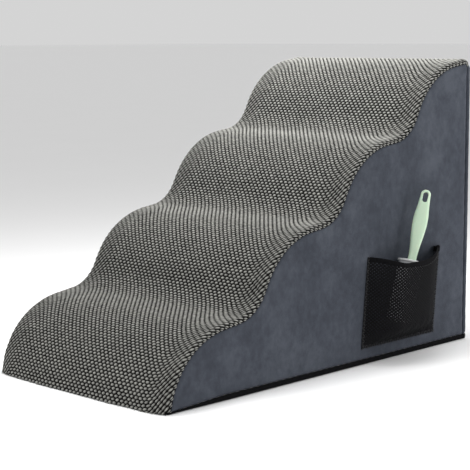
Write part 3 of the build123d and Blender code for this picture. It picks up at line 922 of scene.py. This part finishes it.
def back_panel():
    """One plush panel round the back and its two corners, seamed at the sides and above the zip."""
    path, normals = plan_path(0.3 * MM, HALF_L - EDGE, HALF_W, 3 * MM, CORNER_PUFF)
    travel = travelled(path)
    low = np.where(path[:, 0] > ZIP_RIGHT, RIM, ZIP_TOP)
    place, outward = wall(path, normals, low, np.full(len(path), BACK_SEAM_Z), 120)
    z = place[..., 2]
    along = np.repeat(travel[None], len(z), 0)
    near = np.minimum(np.minimum(along, travel[-1] - along), np.minimum(z - low[None], BACK_SEAM_Z - z))
    tuck = 2.2 * MM * np.exp(-((near / (2.4 * MM)) ** 1.3))
    fullness = 1.6 * MM * smoothstep(near / (60 * MM))
    pucker = 0.3 * MM * np.sin(along * 420 + z * 300) * np.exp(-near / (7 * MM))
    wave = 0.6 * MM * np.sin(along * 15 + z * 9) * np.sin(z * 21 - along * 8) * smoothstep(near / (25 * MM))
    outer = place + outward * (fullness - tuck + pucker + wave)[..., None]
    inner = outer - outward * 1.5 * MM
    panel = mesh_object("back_plush", *slab(outer[:, ::-1], inner[:, ::-1]), PLUSH)
    face_outwards(panel)
    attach(panel, "ramp")
    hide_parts("back_panel")


def base_outline(inset):
    """The base's plan outline, anticlockwise from the front left corner, set in by inset."""
    half_x, half_y = HALF_W - inset, HALF_L - inset
    radius = EDGE - inset
    points = []

    def add_corner(centre_x, start, end):
        angles = np.linspace(start, end, 9)[1:]
        centre = (centre_x, half_y - radius)
        for place, out in corner_arc(
            centre, radius, CORNER_PUFF, angles, lambda t: (math.cos(t), math.sin(t))
        ):
            points.append((*place, *out))

    for x in np.linspace(-half_x, half_x, 60):
        points.append((x, -half_y, 0.0, -1.0))
    for y in np.linspace(-half_y, half_y - radius, 90)[1:]:
        points.append((half_x, y, 1.0, 0.0))
    add_corner(half_x - radius, 0, math.pi / 2)
    for x in np.linspace(half_x - radius, radius - half_x, 60)[1:]:
        points.append((x, half_y, 0.0, 1.0))
    add_corner(radius - half_x, math.pi / 2, math.pi)
    for y in np.linspace(half_y - radius, -half_y, 90)[1:-1]:
        points.append((-half_x, y, -1.0, 0.0))
    return np.array(points)


def base_panel():
    """Black base cloth: a flat bottom, a rim turned up round the sides and back, and grip dots."""
    outline = base_outline(0.3 * MM)
    count = len(outline)
    y = outline[:, 1]
    rim_top, taper = rim_height(y)
    top = rim_top + 0.4 * MM
    # Across the cloth from the middle of the bottom, out round the lower edge and up the rim.
    section = [(-9.0, 0.75, 0), (-5.0, 0.70, 0), (-2.2, 0.85, 0), (-0.9, 1.5, 0), (-0.2, 2.6, 0)]
    section += [(0.25, 0.42, 1), (0.30, 0.62, 1), (0.1, 0.78, 1), (-0.5, 0.88, 1), (-0.2, 0.95, 1)]
    section += [(-0.9, 1.0, 1), (-2.0, 0.96, 1), (-2.2, 0.5, 1), (-3.4, 3.4, 0), (-9.0, 2.4, 0)]
    rings = []
    for out, height, rises in section:
        level = np.where(rises, top * height, np.minimum(height * MM, top * 0.9))
        reach = out * MM * np.where(rises, np.clip(taper + 0.35, 0, 1), 1.0)
        reach = reach - FRONT_RIM_INSET * np.clip(-outline[:, 3], 0, 1)
        rings.append(
            np.stack([outline[:, 0] + outline[:, 2] * reach, y + outline[:, 3] * reach, level], -1)
        )
    rings = np.array(rings)
    points = settle(rings)
    faces = []
    for ring in range(len(section)):
        after = (ring + 1) % len(section)
        near = np.arange(count)
        following = (near + 1) % count
        here, there = ring * count, after * count
        faces.append(np.stack([here + near, here + following, there + following, there + near], 1))
    rim = mesh_object("base_rim", points, np.concatenate(faces), BASE_CLOTH)
    # The flat bottom inside the rim, with a dot grid on its underside.
    x, y = np.meshgrid(np.linspace(-0.192, 0.192, 60), np.linspace(-0.361, 0.361, 110), indexing="xy")
    level = 0.85 * MM + 0.12 * MM * np.sin(x * 160) * np.sin(y * 140)
    lower = settle(np.stack([x, y, level], -1))
    bottom = mesh_object("base_bottom", *slab(lower + (0, 0, 1.4 * MM), lower), BASE_CLOTH)
    dome, dome_faces = ball(bmesh.ops.create_uvsphere, u_segments=8, v_segments=4)
    row, column = np.meshgrid(np.arange(-35, 36), np.arange(-19, 20), indexing="ij")
    spots_x = column * 9.8 * MM + (row % 2) * 4.9 * MM
    spots = np.stack([spots_x, row * 10 * MM, np.full(row.shape, 0.75 * MM)], -1)
    spots = settle(spots.reshape(-1, 3))
    dots_at = spots[:, None] + dome[None] * (1.6 * MM, 1.6 * MM, 0.75 * MM)
    dots = mesh_object("grip_dots", dots_at, repeated(dome_faces, len(spots), len(dome)), RUBBER)
    for piece in (rim, bottom):
        face_outwards(piece)
    for piece in (rim, bottom, dots):
        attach(piece, "ramp")
    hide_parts("base_panel")


def tube(name, path, radius, material, sides=6):
    """A closed tube along a list of points."""
    path = np.asarray(path, float)
    ahead = np.gradient(path, axis=0)
    ahead /= np.linalg.norm(ahead, axis=1)[:, None]
    up = np.cross(ahead, np.roll(ahead, 1, axis=1) + (0.13, 0.71, 0.29))
    frames = [up[0] / np.linalg.norm(up[0])]
    for direction in ahead[1:]:
        carried = frames[-1] - direction * (frames[-1] @ direction)
        frames.append(carried / np.linalg.norm(carried))
    frames = np.array(frames)
    beside = np.cross(ahead, frames)
    angle = np.arange(sides) / sides * 2 * math.pi
    radius = np.broadcast_to(np.asarray(radius, float), len(path))
    spokes = frames[:, None] * np.cos(angle)[None, :, None] + beside[:, None] * np.sin(angle)[None, :, None]
    points = path[:, None] + spokes * radius[:, None, None]
    rows = len(path)
    ring, side = np.meshgrid(np.arange(rows - 1), np.arange(sides), indexing="ij")
    ring, side = ring.ravel(), side.ravel()
    after = (side + 1) % sides
    here, there = ring * sides, (ring + 1) * sides
    quads = np.stack([here + side, there + side, there + after, here + after], 1)
    points = points.reshape(-1, 3)
    tris = np.concatenate([quads[:, [0, 1, 2]], quads[:, [0, 2, 3]]])
    tips = np.stack([path[0] - ahead[0] * radius[0] * 0.5, path[-1] + ahead[-1] * radius[-1] * 0.5])
    first, last = len(points), len(points) + 1
    side = np.arange(sides)
    after = (side + 1) % sides
    start = np.stack([np.full(sides, first), side, after], 1)
    end = np.stack([np.full(sides, last), (rows - 1) * sides + after, (rows - 1) * sides + side], 1)
    faces = np.concatenate([tris, start, end])
    return mesh_object(name, np.concatenate([points, tips]), faces, material)


def zip_coil(name, node, side):
    """A row of the nylon coil: a flattened helix whose loops reach towards the other row."""
    path, normals = plan_path(-0.1 * MM, ZIP_FRONT + 4 * MM, ZIP_RIGHT - 10 * MM)
    travel = travelled(path)
    turns = int(travel[-1] / COIL_PITCH)
    turn = (np.arange(turns * COIL_STEPS) + 0.5 * COIL_STEPS * (side > 0)) / COIL_STEPS
    at = np.clip(turn * COIL_PITCH, 0, travel[-1])
    angle = turn * 2 * math.pi
    base, out = on_path(at, travel, path), on_path(at, travel, normals)
    out /= np.linalg.norm(out, axis=1)[:, None]
    proud = 0.62 * MM + 0.42 * MM * np.sin(angle)
    reach = COIL_MIDDLE + COIL_REACH * np.cos(angle)
    points = np.zeros((len(at), 3))
    points[:, :2] = base + out * proud[:, None]
    points[:, 2] = ZIP_CENTRE + side * reach
    coil = tube(name, points, 0.34 * MM, COIL, sides=5)
    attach(coil, "ramp")
    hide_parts(node)


def zip_tape(name, node, low, high):
    """A woven tape beside the coil, ribbed along its length and stitched down."""
    path, normals = plan_path(0.25 * MM, ZIP_FRONT, ZIP_RIGHT, 1.5 * MM)
    count = len(path)
    place, outward = wall(path, normals, np.full(count, low), np.full(count, high), 19)
    rib = 0.12 * MM * np.cos((place[..., 2] - low) / (1.5 * MM) * 2 * math.pi)
    wave = 0.10 * MM * np.sin(np.arange(count) * 0.9)[None]
    outer = place + outward * (rib + wave)[..., None]
    inner = outer - outward * 0.8 * MM
    tape = mesh_object(name, *slab(outer[:, ::-1], inner[:, ::-1]), TAPE)
    face_outwards(tape)
    seam_z = low + 2 * MM if low < ZIP_CENTRE else high - 2 * MM
    stitches = stitch_row(f"{name}_stitches", path, normals, seam_z)
    for piece in (tape, stitches):
        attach(piece, "ramp")
    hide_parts(node)


def capsules(name, starts, ends, outward, radius, material, arch=0.5 * MM):
    """Short thread stitches, each a little arch between two points."""
    share = np.linspace(0, 1, 5)
    pieces_points, pieces_faces, offset = [], [], 0
    sides = 5
    for start, end, out in zip(starts, ends, outward):
        path = start + (end - start) * share[:, None] + out * (arch * np.sin(share * math.pi))[:, None]
        ahead = (end - start) / np.linalg.norm(end - start)
        beside = np.cross(ahead, out)
        angle = np.arange(sides) / sides * 2 * math.pi
        spokes = out * np.cos(angle)[:, None] + beside * np.sin(angle)[:, None]
        size = radius * np.array([0.45, 1.0, 1.1, 1.0, 0.45])
        ring_points = path[:, None] + spokes[None] * size[:, None, None]
        pieces_points.append(ring_points.reshape(-1, 3))
        pieces_points.append(np.stack([path[0], path[-1]]))
        for ring in range(4):
            for k in range(sides):
                a, b = offset + ring * sides + k, offset + ring * sides + (k + 1) % sides
                pieces_faces += [(a, b, b + sides), (a, b + sides, a + sides)]
        first, last = 5 * sides, 5 * sides + 1
        for k in range(sides):
            after = (k + 1) % sides
            pieces_faces.append((first + offset, after + offset, k + offset))
            pieces_faces.append((last + offset, 4 * sides + k + offset, 4 * sides + after + offset))
        offset += 5 * sides + 2
    return mesh_object(name, np.concatenate(pieces_points), pieces_faces, material)


def stitch_row(name, path, normals, z, pitch=3.4 * MM, length=2.5 * MM):
    """Thread stitches along a plan path at one height."""
    travel = travelled(path)
    at = np.arange(pitch, travel[-1] - pitch, pitch)
    out = np.column_stack([on_path(at, travel, normals), np.zeros(len(at))])
    out /= np.linalg.norm(out, axis=1)[:, None]
    starts, ends = (
        np.column_stack([on_path(distance, travel, path), np.full(len(at), z)]) + out * 0.1 * MM
        for distance in (at, at + length)
    )
    return capsules(name, starts, ends, out, 0.28 * MM, THREAD, 0.3 * MM)


def zip_fastener():
    """Tapes and coils; the slider, its pull and the stops keep their own shapes."""
    zip_tape("zip_tape_low", "zip_tape_lower", RIM, ZIP_CENTRE - ZIP_GAP)
    zip_tape("zip_tape_high", "zip_tape_upper", ZIP_CENTRE + ZIP_GAP, ZIP_TOP)
    zip_coil("coil_low", "zip_coil_lower", -1)
    zip_coil("coil_high", "zip_coil_upper", 1)


# ------------------------------------------------------------------ foam and liner
def inset_outline(depth, end_y):
    """The outline moved inwards by depth, from the base to the back at end_y."""
    s = np.arange(0, TOP_END, 4 * MM)
    (y, z), (ny, nz) = outline_at(s)
    y, z = y - ny * depth, z - nz * depth
    kept = (z > depth) & (y < end_y) & (np.arange(len(y)) < np.argmax(OUTLINE_S > TOP_END) + 1)
    y, z = y[kept], z[kept]
    y = np.append(y, end_y)
    z = np.append(z, z[-1] + (y[-1] - y[-2]) * 0.14)
    return y, z


def foam_block():
    """The firm core: a block cut to the tiers, with softened edges."""
    y, z = inset_outline(33.4 * MM, HALF_L - 4 * MM)
    y = np.concatenate([[y[0] - 1.4 * MM], y, [y[-1]]])
    z = np.concatenate([[3.4 * MM], z, [3.4 * MM]])
    half = HALF_W - 4 * MM
    across = np.linspace(-half, half, 9)
    rings = np.array([settle(np.stack([np.full(len(y), x), y, z], -1)) for x in across])
    block = ring_solid("foam_block", rings, FOAM)
    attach(block, "ramp")
    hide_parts("foam_core")


def rolled_drop(across, half, radius):
    """How far a layer drops below the outline as it rolls over its side edges."""
    rolled = np.clip((np.abs(across) - (half - radius)) / radius, 0, 1)
    return radius * (1 - np.sqrt(1 - rolled**2))


def comfort_foam():
    """The softer foam glued over the tiers."""
    s = np.linspace(6 * MM, TOP_END - 24 * MM, 260)
    (y, z), (ny, nz) = outline_at(s)
    half = HALF_W - 4 * MM
    across = half * np.sin(np.linspace(-math.pi / 2, math.pi / 2, 61))
    grids = []
    for depth, roll in ((3.6 * MM, 7.5 * MM), (33.0 * MM, 0.1 * MM)):
        below = depth + rolled_drop(across, half, roll)[None]
        yy = y[:, None] - ny[:, None] * below
        zz = np.maximum(z[:, None] - nz[:, None] * below, 3.4 * MM)
        grids.append(settle(np.stack(np.broadcast_arrays(across[None], yy, zz), -1)))
    layer = mesh_object("comfort_foam", *slab(grids[0], grids[1]), SOFT_FOAM)
    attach(layer, "ramp")
    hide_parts("comfort_layer")


def liner_cloth():
    """Non-woven liner: one long strip over the tiers and down the back, and two side pieces."""
    s = np.linspace(3 * MM, OUTLINE_S[-1] - 4 * MM, 450)
    (y, z), (ny, nz) = outline_at(s)
    half = HALF_W - 3.4 * MM
    across = half * np.sin(np.linspace(-math.pi / 2, math.pi / 2, 61))
    grids = []
    for depth in (2.7 * MM, 3.2 * MM):
        grid = np.stack(
            np.broadcast_arrays(across[None], (y - ny * depth)[:, None], (z - nz * depth)[:, None]), -1
        ).copy()
        drop = rolled_drop(across, half, 8 * MM)
        grid[..., 1] -= ny[:, None] * drop[None]
        grid[..., 2] -= nz[:, None] * drop[None]
        grid[..., 2] = np.maximum(grid[..., 2], 3.0 * MM)
        grids.append(settle(grid))
    wrap = mesh_object("liner_cloth", *slab(grids[0], grids[1]), LINER_CLOTH)
    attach(wrap, "ramp")
    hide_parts("liner_wrap")
    for side, node in ((1, "liner_side_right"), (-1, "liner_side_left")):
        share = np.linspace(0, 1, 24)
        base_y, top_z = y - ny * 11 * MM, z - nz * 11 * MM
        kept = np.maximum.accumulate(base_y) == base_y
        line_y = np.linspace(base_y[0] + 4 * MM, HALF_L - 12 * MM, 160)
        top = np.interp(line_y, base_y[kept], top_z[kept])
        zz = 4 * MM + (top - 4 * MM)[None] * share[:, None]
        yy = np.repeat(line_y[None], len(share), 0)
        x = HALF_W - 3.3 * MM + 0.1 * MM * np.sin(yy * 60) * np.sin(zz * 45)
        cloth = mesh_object(
            f"{node}_cloth", *side_sheet(side, x, yy, zz, LINER_THICK), LINER_CLOTH
        )
        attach(cloth, "ramp")
        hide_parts(node)


# ------------------------------------------------------------------ pocket
def plateau(u, rise=0.17, fall=0.37):
    """How far out the pocket stands across its width, from 0 at its edges to 1."""
    sharp = 6.0
    a = np.clip(u / rise, 1e-4, None)
    c = np.clip((1 - u) / fall, 1e-4, None)
    return (a**-sharp + 1 + c**-sharp) ** (-1 / sharp)


def mouth_height(u):
    """The hem's top: level at both corners and sagging in front of the roller."""
    sag = smoothstep(u / 0.24) * smoothstep((0.80 - u) / 0.34)
    return POCKET_TOP - MOUTH_SAG * sag


def pocket_skin(u, v, proud=0.0):
    """A point of the pocket's cloth: u across from the front edge, v up from the bottom seam."""
    u, v = np.broadcast_arrays(np.asarray(u, float), np.asarray(v, float))
    z = POCKET_BOTTOM + (mouth_height(u) - POCKET_BOTTOM) * v
    lift = np.clip((z - POCKET_BOTTOM) / POCKET_FLOOR_RISE, 0, None)
    open_out = (np.clip(lift, 1e-3, None) ** -8.0 + 1) ** (-1 / 8.0)
    fold = 1.0 * MM * np.sin(u * 62 + 2 * v) * np.exp(-((v / 0.24) ** 2)) * plateau(u, 0.12, 0.12)
    slack = 0.4 * MM * np.sin(u * 19 + v * 5 + 0.6) * np.sin(v * 7 + u * 3) * plateau(u)
    full = plateau(u) * open_out
    stand = (POCKET_DEPTH - 0.6 * MM) * full + fold + slack * (0.3 + 0.7 * v) * full
    x = HALF_W + 1.0 * MM * (1 - full) + np.clip(stand, 0, None) + proud
    y = POCKET_FRONT_Y + POCKET_LEAN * (z - POCKET_BOTTOM) + u * POCKET_WIDTH
    return np.stack([x, y, z], -1)


def pocket_net():
    """Black air mesh: staggered oval holes cut through one springy sheet."""
    wide, tall = NET_PITCH
    line = np.linspace(0, 1, 400)
    skin = pocket_skin(line, 0.6)
    travel = travelled(skin)
    columns, rows = int(travel[-1] / wide), int((POCKET_TOP - POCKET_BOTTOM) / tall)
    # Lattice points are shared by the diamond cells; each cell has an oval hole in it.
    index, points, faces = {}, [], []

    def vertex(a, b):
        key = (round(a * 4), round(b * 4))
        if key not in index:
            index[key] = len(points)
            points.append((a / columns, b / rows))
        return index[key]

    for i in range(2 * columns + 1):
        for j in range(2 * rows + 1):
            if (i + j) % 2 or i in (0, 2 * columns) or j in (0, 2 * rows):
                continue
            a, b = i / 2, j / 2
            outer = [vertex(a + da, b + db) for da, db in CELL_RIM]
            inner = []
            for k in range(8):
                angle = k * math.pi / 4
                inner.append(len(points))
                size = NET_HOLE * (1 + 0.06 * math.sin(i * 1.7 + j * 2.3))
                points.append(((a + size * math.cos(angle)) / columns, (b + size * math.sin(angle)) / rows))
            for k in range(8):
                after = (k + 1) % 8
                faces.append((outer[k], outer[after], inner[after], inner[k]))

    def half_cell(centre, inward, sideways, halves):
        """The part of a border cell that lies inside the cloth, left plain."""
        for half in halves:
            side = (half * sideways[0], half * sideways[1])
            quad = [
                vertex(*centre),
                vertex(centre[0] + side[0] / 2, centre[1] + side[1] / 2),
                vertex(centre[0] + (side[0] + inward[0]) / 4, centre[1] + (side[1] + inward[1]) / 4),
                vertex(centre[0] + inward[0] / 2, centre[1] + inward[1] / 2),
            ]
            turn = side[0] * inward[1] - side[1] * inward[0]
            faces.append(tuple(quad if turn > 0 else quad[::-1]))

    def inside(number, last):
        """Which halves of a border cell are inside: only one at either end."""
        return (1,) if number == 0 else (-1,) if number == last else (-1, 1)

    for i in range(columns + 1):
        half_cell((i, 0), (0, 1), (1, 0), inside(i, columns))
        half_cell((i, rows), (0, -1), (1, 0), inside(i, columns))
    for j in range(1, rows):
        half_cell((0, j), (1, 0), (0, 1), (-1, 1))
        half_cell((columns, j), (-1, 0), (0, 1), (-1, 1))
    flat = np.array(points)
    u = np.interp(flat[:, 0] * travel[-1], travel, line)
    v = flat[:, 1] * 0.975
    net = mesh_object("pocket_net", pocket_skin(u, v), faces, NET)
    thick = net.modifiers.new("thickness", "SOLIDIFY")
    thick.thickness = 1.0 * MM
    thick.offset = 0.0
    applied(net)
    return net


def band(name, u, low, high, half_thick, proud, material, gather=0.0):
    """A flattened closed ring swept along the pocket between two heights below its mouth."""
    section = np.array([(math.cos(t), math.sin(t)) for t in np.linspace(0, 2 * math.pi, 13)[:-1]])
    section = np.sign(section) * np.abs(section) ** (0.7, 0.55)
    middle, half = (low + high) / 2, (high - low) / 2
    rings = []
    for position in u:
        top = mouth_height(position)
        centre = pocket_skin(position, (top + middle - POCKET_BOTTOM) / (top - POCKET_BOTTOM), proud)
        after, before = (pocket_skin(np.clip(position + k, 0, 1), 0.97) for k in (0.01, -0.01))
        beside = after - before
        out = np.array([beside[1], -beside[0], 0.0])
        out /= np.linalg.norm(out)
        ruffle = gather * math.sin(position * 340) + 0.6 * gather * math.sin(position * 517 + 1)
        upright = np.array([0, 0.1, 1.0]) * section[:, 1:] * half
        rings.append(centre + out * (section[:, :1] * half_thick + ruffle) + upright)
    piece = ring_solid(name, np.array(rings), material, reverse=True)
    smooth_all(piece.data)
    return piece


def binding():
    """Bias tape folded over the pocket's three sewn edges, with a zigzag stitch over it."""
    def edge(t):
        """Down the front edge, along the bottom and up the back edge, as u, v and outwards."""
        if t < 1:
            return 0.0, 1 - t, (-1.0, 0.0)
        if t < 2:
            return t - 1, 0.0, (0.0, -1.0)
        return 1.0, t - 2, (1.0, 0.0)

    runs = ((0, 0.999, 70), (1.0, 1.999, 80), (2.0, 3.0, 70))
    steps = np.concatenate([np.linspace(*run) for run in runs])
    outer_points, inner_points, starts, ends = [], [], [], []
    for number, t in enumerate(steps):
        u, v, out = edge(t)
        z = POCKET_BOTTOM + (mouth_height(u) - POCKET_BOTTOM) * v
        y = POCKET_FRONT_Y + POCKET_LEAN * (z - POCKET_BOTTOM) + u * POCKET_WIDTH
        wobble = 0.25 * MM * math.sin(number * 1.9)
        reach = BINDING_WIDTH + wobble
        push = np.array(out) * reach
        if abs(t - 1) < 0.02 or abs(t - 2) < 0.02:
            push = np.array((-reach if t < 1.5 else reach, -reach))
        row_out, row_in = [], []
        for share in np.linspace(-0.55, 1, 7):
            uneven = 0.12 * MM * math.sin(number * 2.4 + share * 3)
            height = 1.9 * MM - 0.9 * MM * abs(share - 0.2) ** 2 + uneven
            row_out.append((HALF_W + height, y + push[0] * share, z + push[1] * share))
            row_in.append((HALF_W + 0.2 * MM, y + push[0] * share, z + push[1] * share))
        outer_points.append(row_out)
        inner_points.append(row_in)
        if number % 2 == 0 and number + 1 < len(steps):
            swing = 1.25 if number % 4 else 0.1
            starts.append((HALF_W + 1.8 * MM, y + push[0] * (0.95 - swing), z + push[1] * (0.95 - swing)))
            ends.append((HALF_W + 1.8 * MM, y + push[0] * (swing + 0.05), z + push[1] * (swing + 0.05)))
    tape = mesh_object("pocket_binding", *slab(np.array(outer_points), np.array(inner_points)), BLACK)
    face_outwards(tape)
    starts, ends = np.array(starts), np.array(ends)
    following = np.roll(starts, -1, axis=0)
    zigzag = capsules(
        "pocket_zigzag",
        np.concatenate([starts, ends[:-1]]),
        np.concatenate([ends, following[:-1]]),
        np.tile((1.0, 0.0, 0.0), (2 * len(starts) - 1, 1)),
        0.33 * MM,
        THREAD,
    )
    return tape, zigzag


def hem_corner():
    """The hem's spare end, rolled up and tucked in at the back corner of the mouth."""
    turn = np.linspace(-0.3, 5.2, 40)
    level = np.linspace(0, 1, 9)
    angle, share = np.meshgrid(turn, level, indexing="ij")
    radius = CORNER_ROLL - 0.22 * MM * angle
    back_y = POCKET_FRONT_Y + POCKET_WIDTH + POCKET_LEAN * (POCKET_TOP - POCKET_BOTTOM)
    middle_y = back_y - CORNER_ROLL - CORNER_TUCK
    z = POCKET_TOP - 1.1 * HEM_HEIGHT * (1 - share) + 0.5 * MM * np.sin(angle * 2)
    grids = []
    for skin in (0.75 * MM, -0.75 * MM):
        x = HALF_W + CORNER_ROLL + 1.2 * MM + (radius + skin) * np.cos(angle)
        y = middle_y + POCKET_LEAN * (z - POCKET_TOP) + (radius + skin) * np.sin(angle)
        grids.append(np.stack([x, y, z], -1))
    roll = mesh_object("hem_corner_roll", *slab(*grids), HEM_CLOTH)
    face_outwards(roll)
    return roll


def pocket():
    """The mesh pocket with its elastic hem and bound edges."""
    net = pocket_net()
    u = np.linspace(0.0, 1.0, 240)
    hem = band("pocket_hem_casing", u, -HEM_HEIGHT, 0.0, 1.35 * MM, 0.2 * MM, HEM_CLOTH, gather=0.28 * MM)
    elastic = band("hem_elastic", u[2:-2], -7 * MM, -1 * MM, 0.4 * MM, 0.2 * MM, ELASTIC, gather=0.12 * MM)
    tape, zigzag = binding()
    corner = hem_corner()
    starts, ends = [], []
    for position in np.arange(0.02, 0.97, 0.018):
        for places, at in ((starts, position), (ends, position + 0.012)):
            places.append(pocket_skin(at, HEM_STITCH_LEVEL, 1.2 * MM))
    hem_stitches = capsules(
        "hem_stitches", starts, ends, np.tile((1.0, 0.0, 0.0), (len(starts), 1)), 0.3 * MM, THREAD, 0.3 * MM
    )
    slots = {net: "pocket_mesh", hem: "pocket_trim", elastic: "elastic", tape: "pocket_trim"}
    slots.update({zigzag: "pocket_trim", hem_stitches: "pocket_trim", corner: "pocket_trim"})
    for piece, name in slots.items():
        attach(piece, "ramp")
    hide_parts("pocket_panel")
    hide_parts("pocket_hem")
    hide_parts("pocket_elastic")
    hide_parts("pocket_edge_binding")


# ------------------------------------------------------------------ lint roller
def along_roller(distance, around=0.0, radius=0.0):
    """A point beside the roller's axis; distance runs up the handle from the flange."""
    across = np.array([1.0, 0.0, 0.0])
    upright = np.cross(ROLLER_AXIS, across)
    spoke = across * np.cos(around)[..., None] + upright * np.sin(around)[..., None]
    centre = ROLLER_NECK + ROLLER_AXIS * np.asarray(distance)[..., None]
    return centre + spoke * np.asarray(radius)[..., None]


def handle_half_width(d):
    """Half of the handle's width at a distance from the flange: neck, belly and head."""
    knots = np.array([0.0, 8, 24, 45, 62, 76, 92, 106, 114.0]) * MM
    sizes = np.array([7.2, 7.2, 8.3, 10.9, 12.3, 12.1, 10.3, 8.9, 8.4]) * MM
    slopes = np.gradient(sizes, knots)
    k = np.clip(np.searchsorted(knots, d) - 1, 0, len(knots) - 2)
    step = knots[k + 1] - knots[k]
    t = np.clip((d - knots[k]) / step, 0, 1)
    return (
        (2 * t**3 - 3 * t**2 + 1) * sizes[k]
        + (t**3 - 2 * t**2 + t) * step * slopes[k]
        + (-2 * t**3 + 3 * t**2) * sizes[k + 1]
        + (t**3 - t**2) * step * slopes[k + 1]
    )


def roller_handle():
    """The mint handle: a lofted, softly rounded grip with a hanging slot through its head."""
    length, head = HANDLE_LENGTH, 8.4 * MM
    dome = length - head + head * np.sin(np.linspace(0.05, math.pi / 2, 14))
    stations = np.concatenate([np.linspace(0.6 * MM, length - head, 60), dome])
    turn = np.linspace(0, 2 * math.pi, 41)[:-1]
    face = math.cos(ROLLER_TURN) * np.array([1.0, 0, 0]) + math.sin(ROLLER_TURN) * np.array(
        [0.0, -ROLLER_AXIS[2], ROLLER_AXIS[1]]
    )
    wide = np.cross(ROLLER_AXIS, face)
    rings = []
    for d in stations:
        if d <= length - head:
            half = float(handle_half_width(d))
        else:
            half = math.sqrt(max(head**2 - (d - length + head) ** 2, 0.0)) + 0.02 * MM
        neck = smoothstep(d / (26 * MM))
        thick = (5.6 * MM + 0.8 * MM * neck) * (1 - 0.35 * smoothstep((d - length + 26 * MM) / (26 * MM)))
        thick = min(thick, 0.15 * MM + half * 0.98) if d > length - head else thick
        power = 0.80 - 0.10 * neck
        cos, sin = np.cos(turn), np.sin(turn)
        x = np.sign(cos) * np.abs(cos) ** power * half
        y = np.sign(sin) * np.abs(sin) ** power * thick
        rings.append(ROLLER_NECK + ROLLER_AXIS * d + wide * x[:, None] + face * y[:, None])
    grip = ring_solid("handle_grip", np.array(rings), MINT, triangulate=False)
    cutter = slot_cutter(face, wide)
    cut = grip.modifiers.new("slot", "BOOLEAN")
    cut.object = cutter
    cut.solver = "EXACT"
    soften = grip.modifiers.new("soften", "BEVEL")
    soften.width = 0.9 * MM
    soften.segments = 3
    soften.limit_method = "ANGLE"
    soften.angle_limit = math.radians(50)
    applied(grip)
    bpy.data.objects.remove(cutter)
    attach(grip, "roller")
    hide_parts("roller_handle")


def slot_cutter(face, wide):
    """A stadium prism that cuts the hanging slot."""
    half, reach = 4.4 * MM, 9.5 * MM
    straight = 4.5 * MM
    centre = HANDLE_LENGTH - 13 * MM
    outline = []
    for end, start in ((straight, 0), (-straight, math.pi)):
        for angle in np.linspace(start, start + math.pi, 13):
            outline.append((half * math.cos(angle), end + half * math.sin(angle)))
    rings = [
        [ROLLER_NECK + ROLLER_AXIS * (centre + d) + wide * x + face * depth for x, d in outline]
        for depth in (-reach, reach)
    ]
    return ring_solid("slot_cutter", np.array(rings), triangulate=False)


def sticky_roll():
    """The wound adhesive sheets: a spiral edge along the roll and slanted perforations."""
    around = np.linspace(0, 2 * math.pi, 120, endpoint=False)
    down = -FLANGE - np.linspace(0.2 * MM, ROLL_LENGTH - 0.2 * MM, 60)
    angle, distance = np.meshgrid(around, down, indexing="xy")
    lead = angle + 0.35 * (distance - down[0]) / ROLL_LENGTH
    step = 0.35 * MM * ((lead / (2 * math.pi)) % 1.0)
    cut = np.abs(((lead * 3 / (2 * math.pi)) % 1.0) - 0.5)
    groove = 0.12 * MM * np.exp(-((cut / 0.012) ** 2))
    outer = along_roller(distance, angle, ROLL_RADIUS - 0.35 * MM + step - groove)
    inner = along_roller(distance, angle, np.full_like(distance, CORE_RADIUS + 0.05 * MM))
    roll = mesh_object("sticky_sheets", *sleeve(outer, inner), STICKY)
    face_outwards(roll)
    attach(roll, "roll")
    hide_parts("adhesive_roll")


def lint_roller():
    """The roller that stands in the pocket; its reel, spindle and clip keep their own shapes."""
    roller_handle()
    sticky_roll()
    for node, material in KEPT_FINISHES.items():
        finish(node, material)


def finish(node, material):
    """Gives a kept CAD part its finish."""
    for place in frame["nodes"][node].material_slots:
        place.material = material


# ------------------------------------------------------------------ assembly
floats = cover_floats()
cover_sheet()
side_panel("side_plush_right", "side_panel_right", 1)
side_panel("side_plush_left", "side_panel_left", -1)
back_panel()
base_panel()
foam_block()
comfort_foam()
liner_cloth()
zip_fastener()
pocket()
lint_roller()
studio()
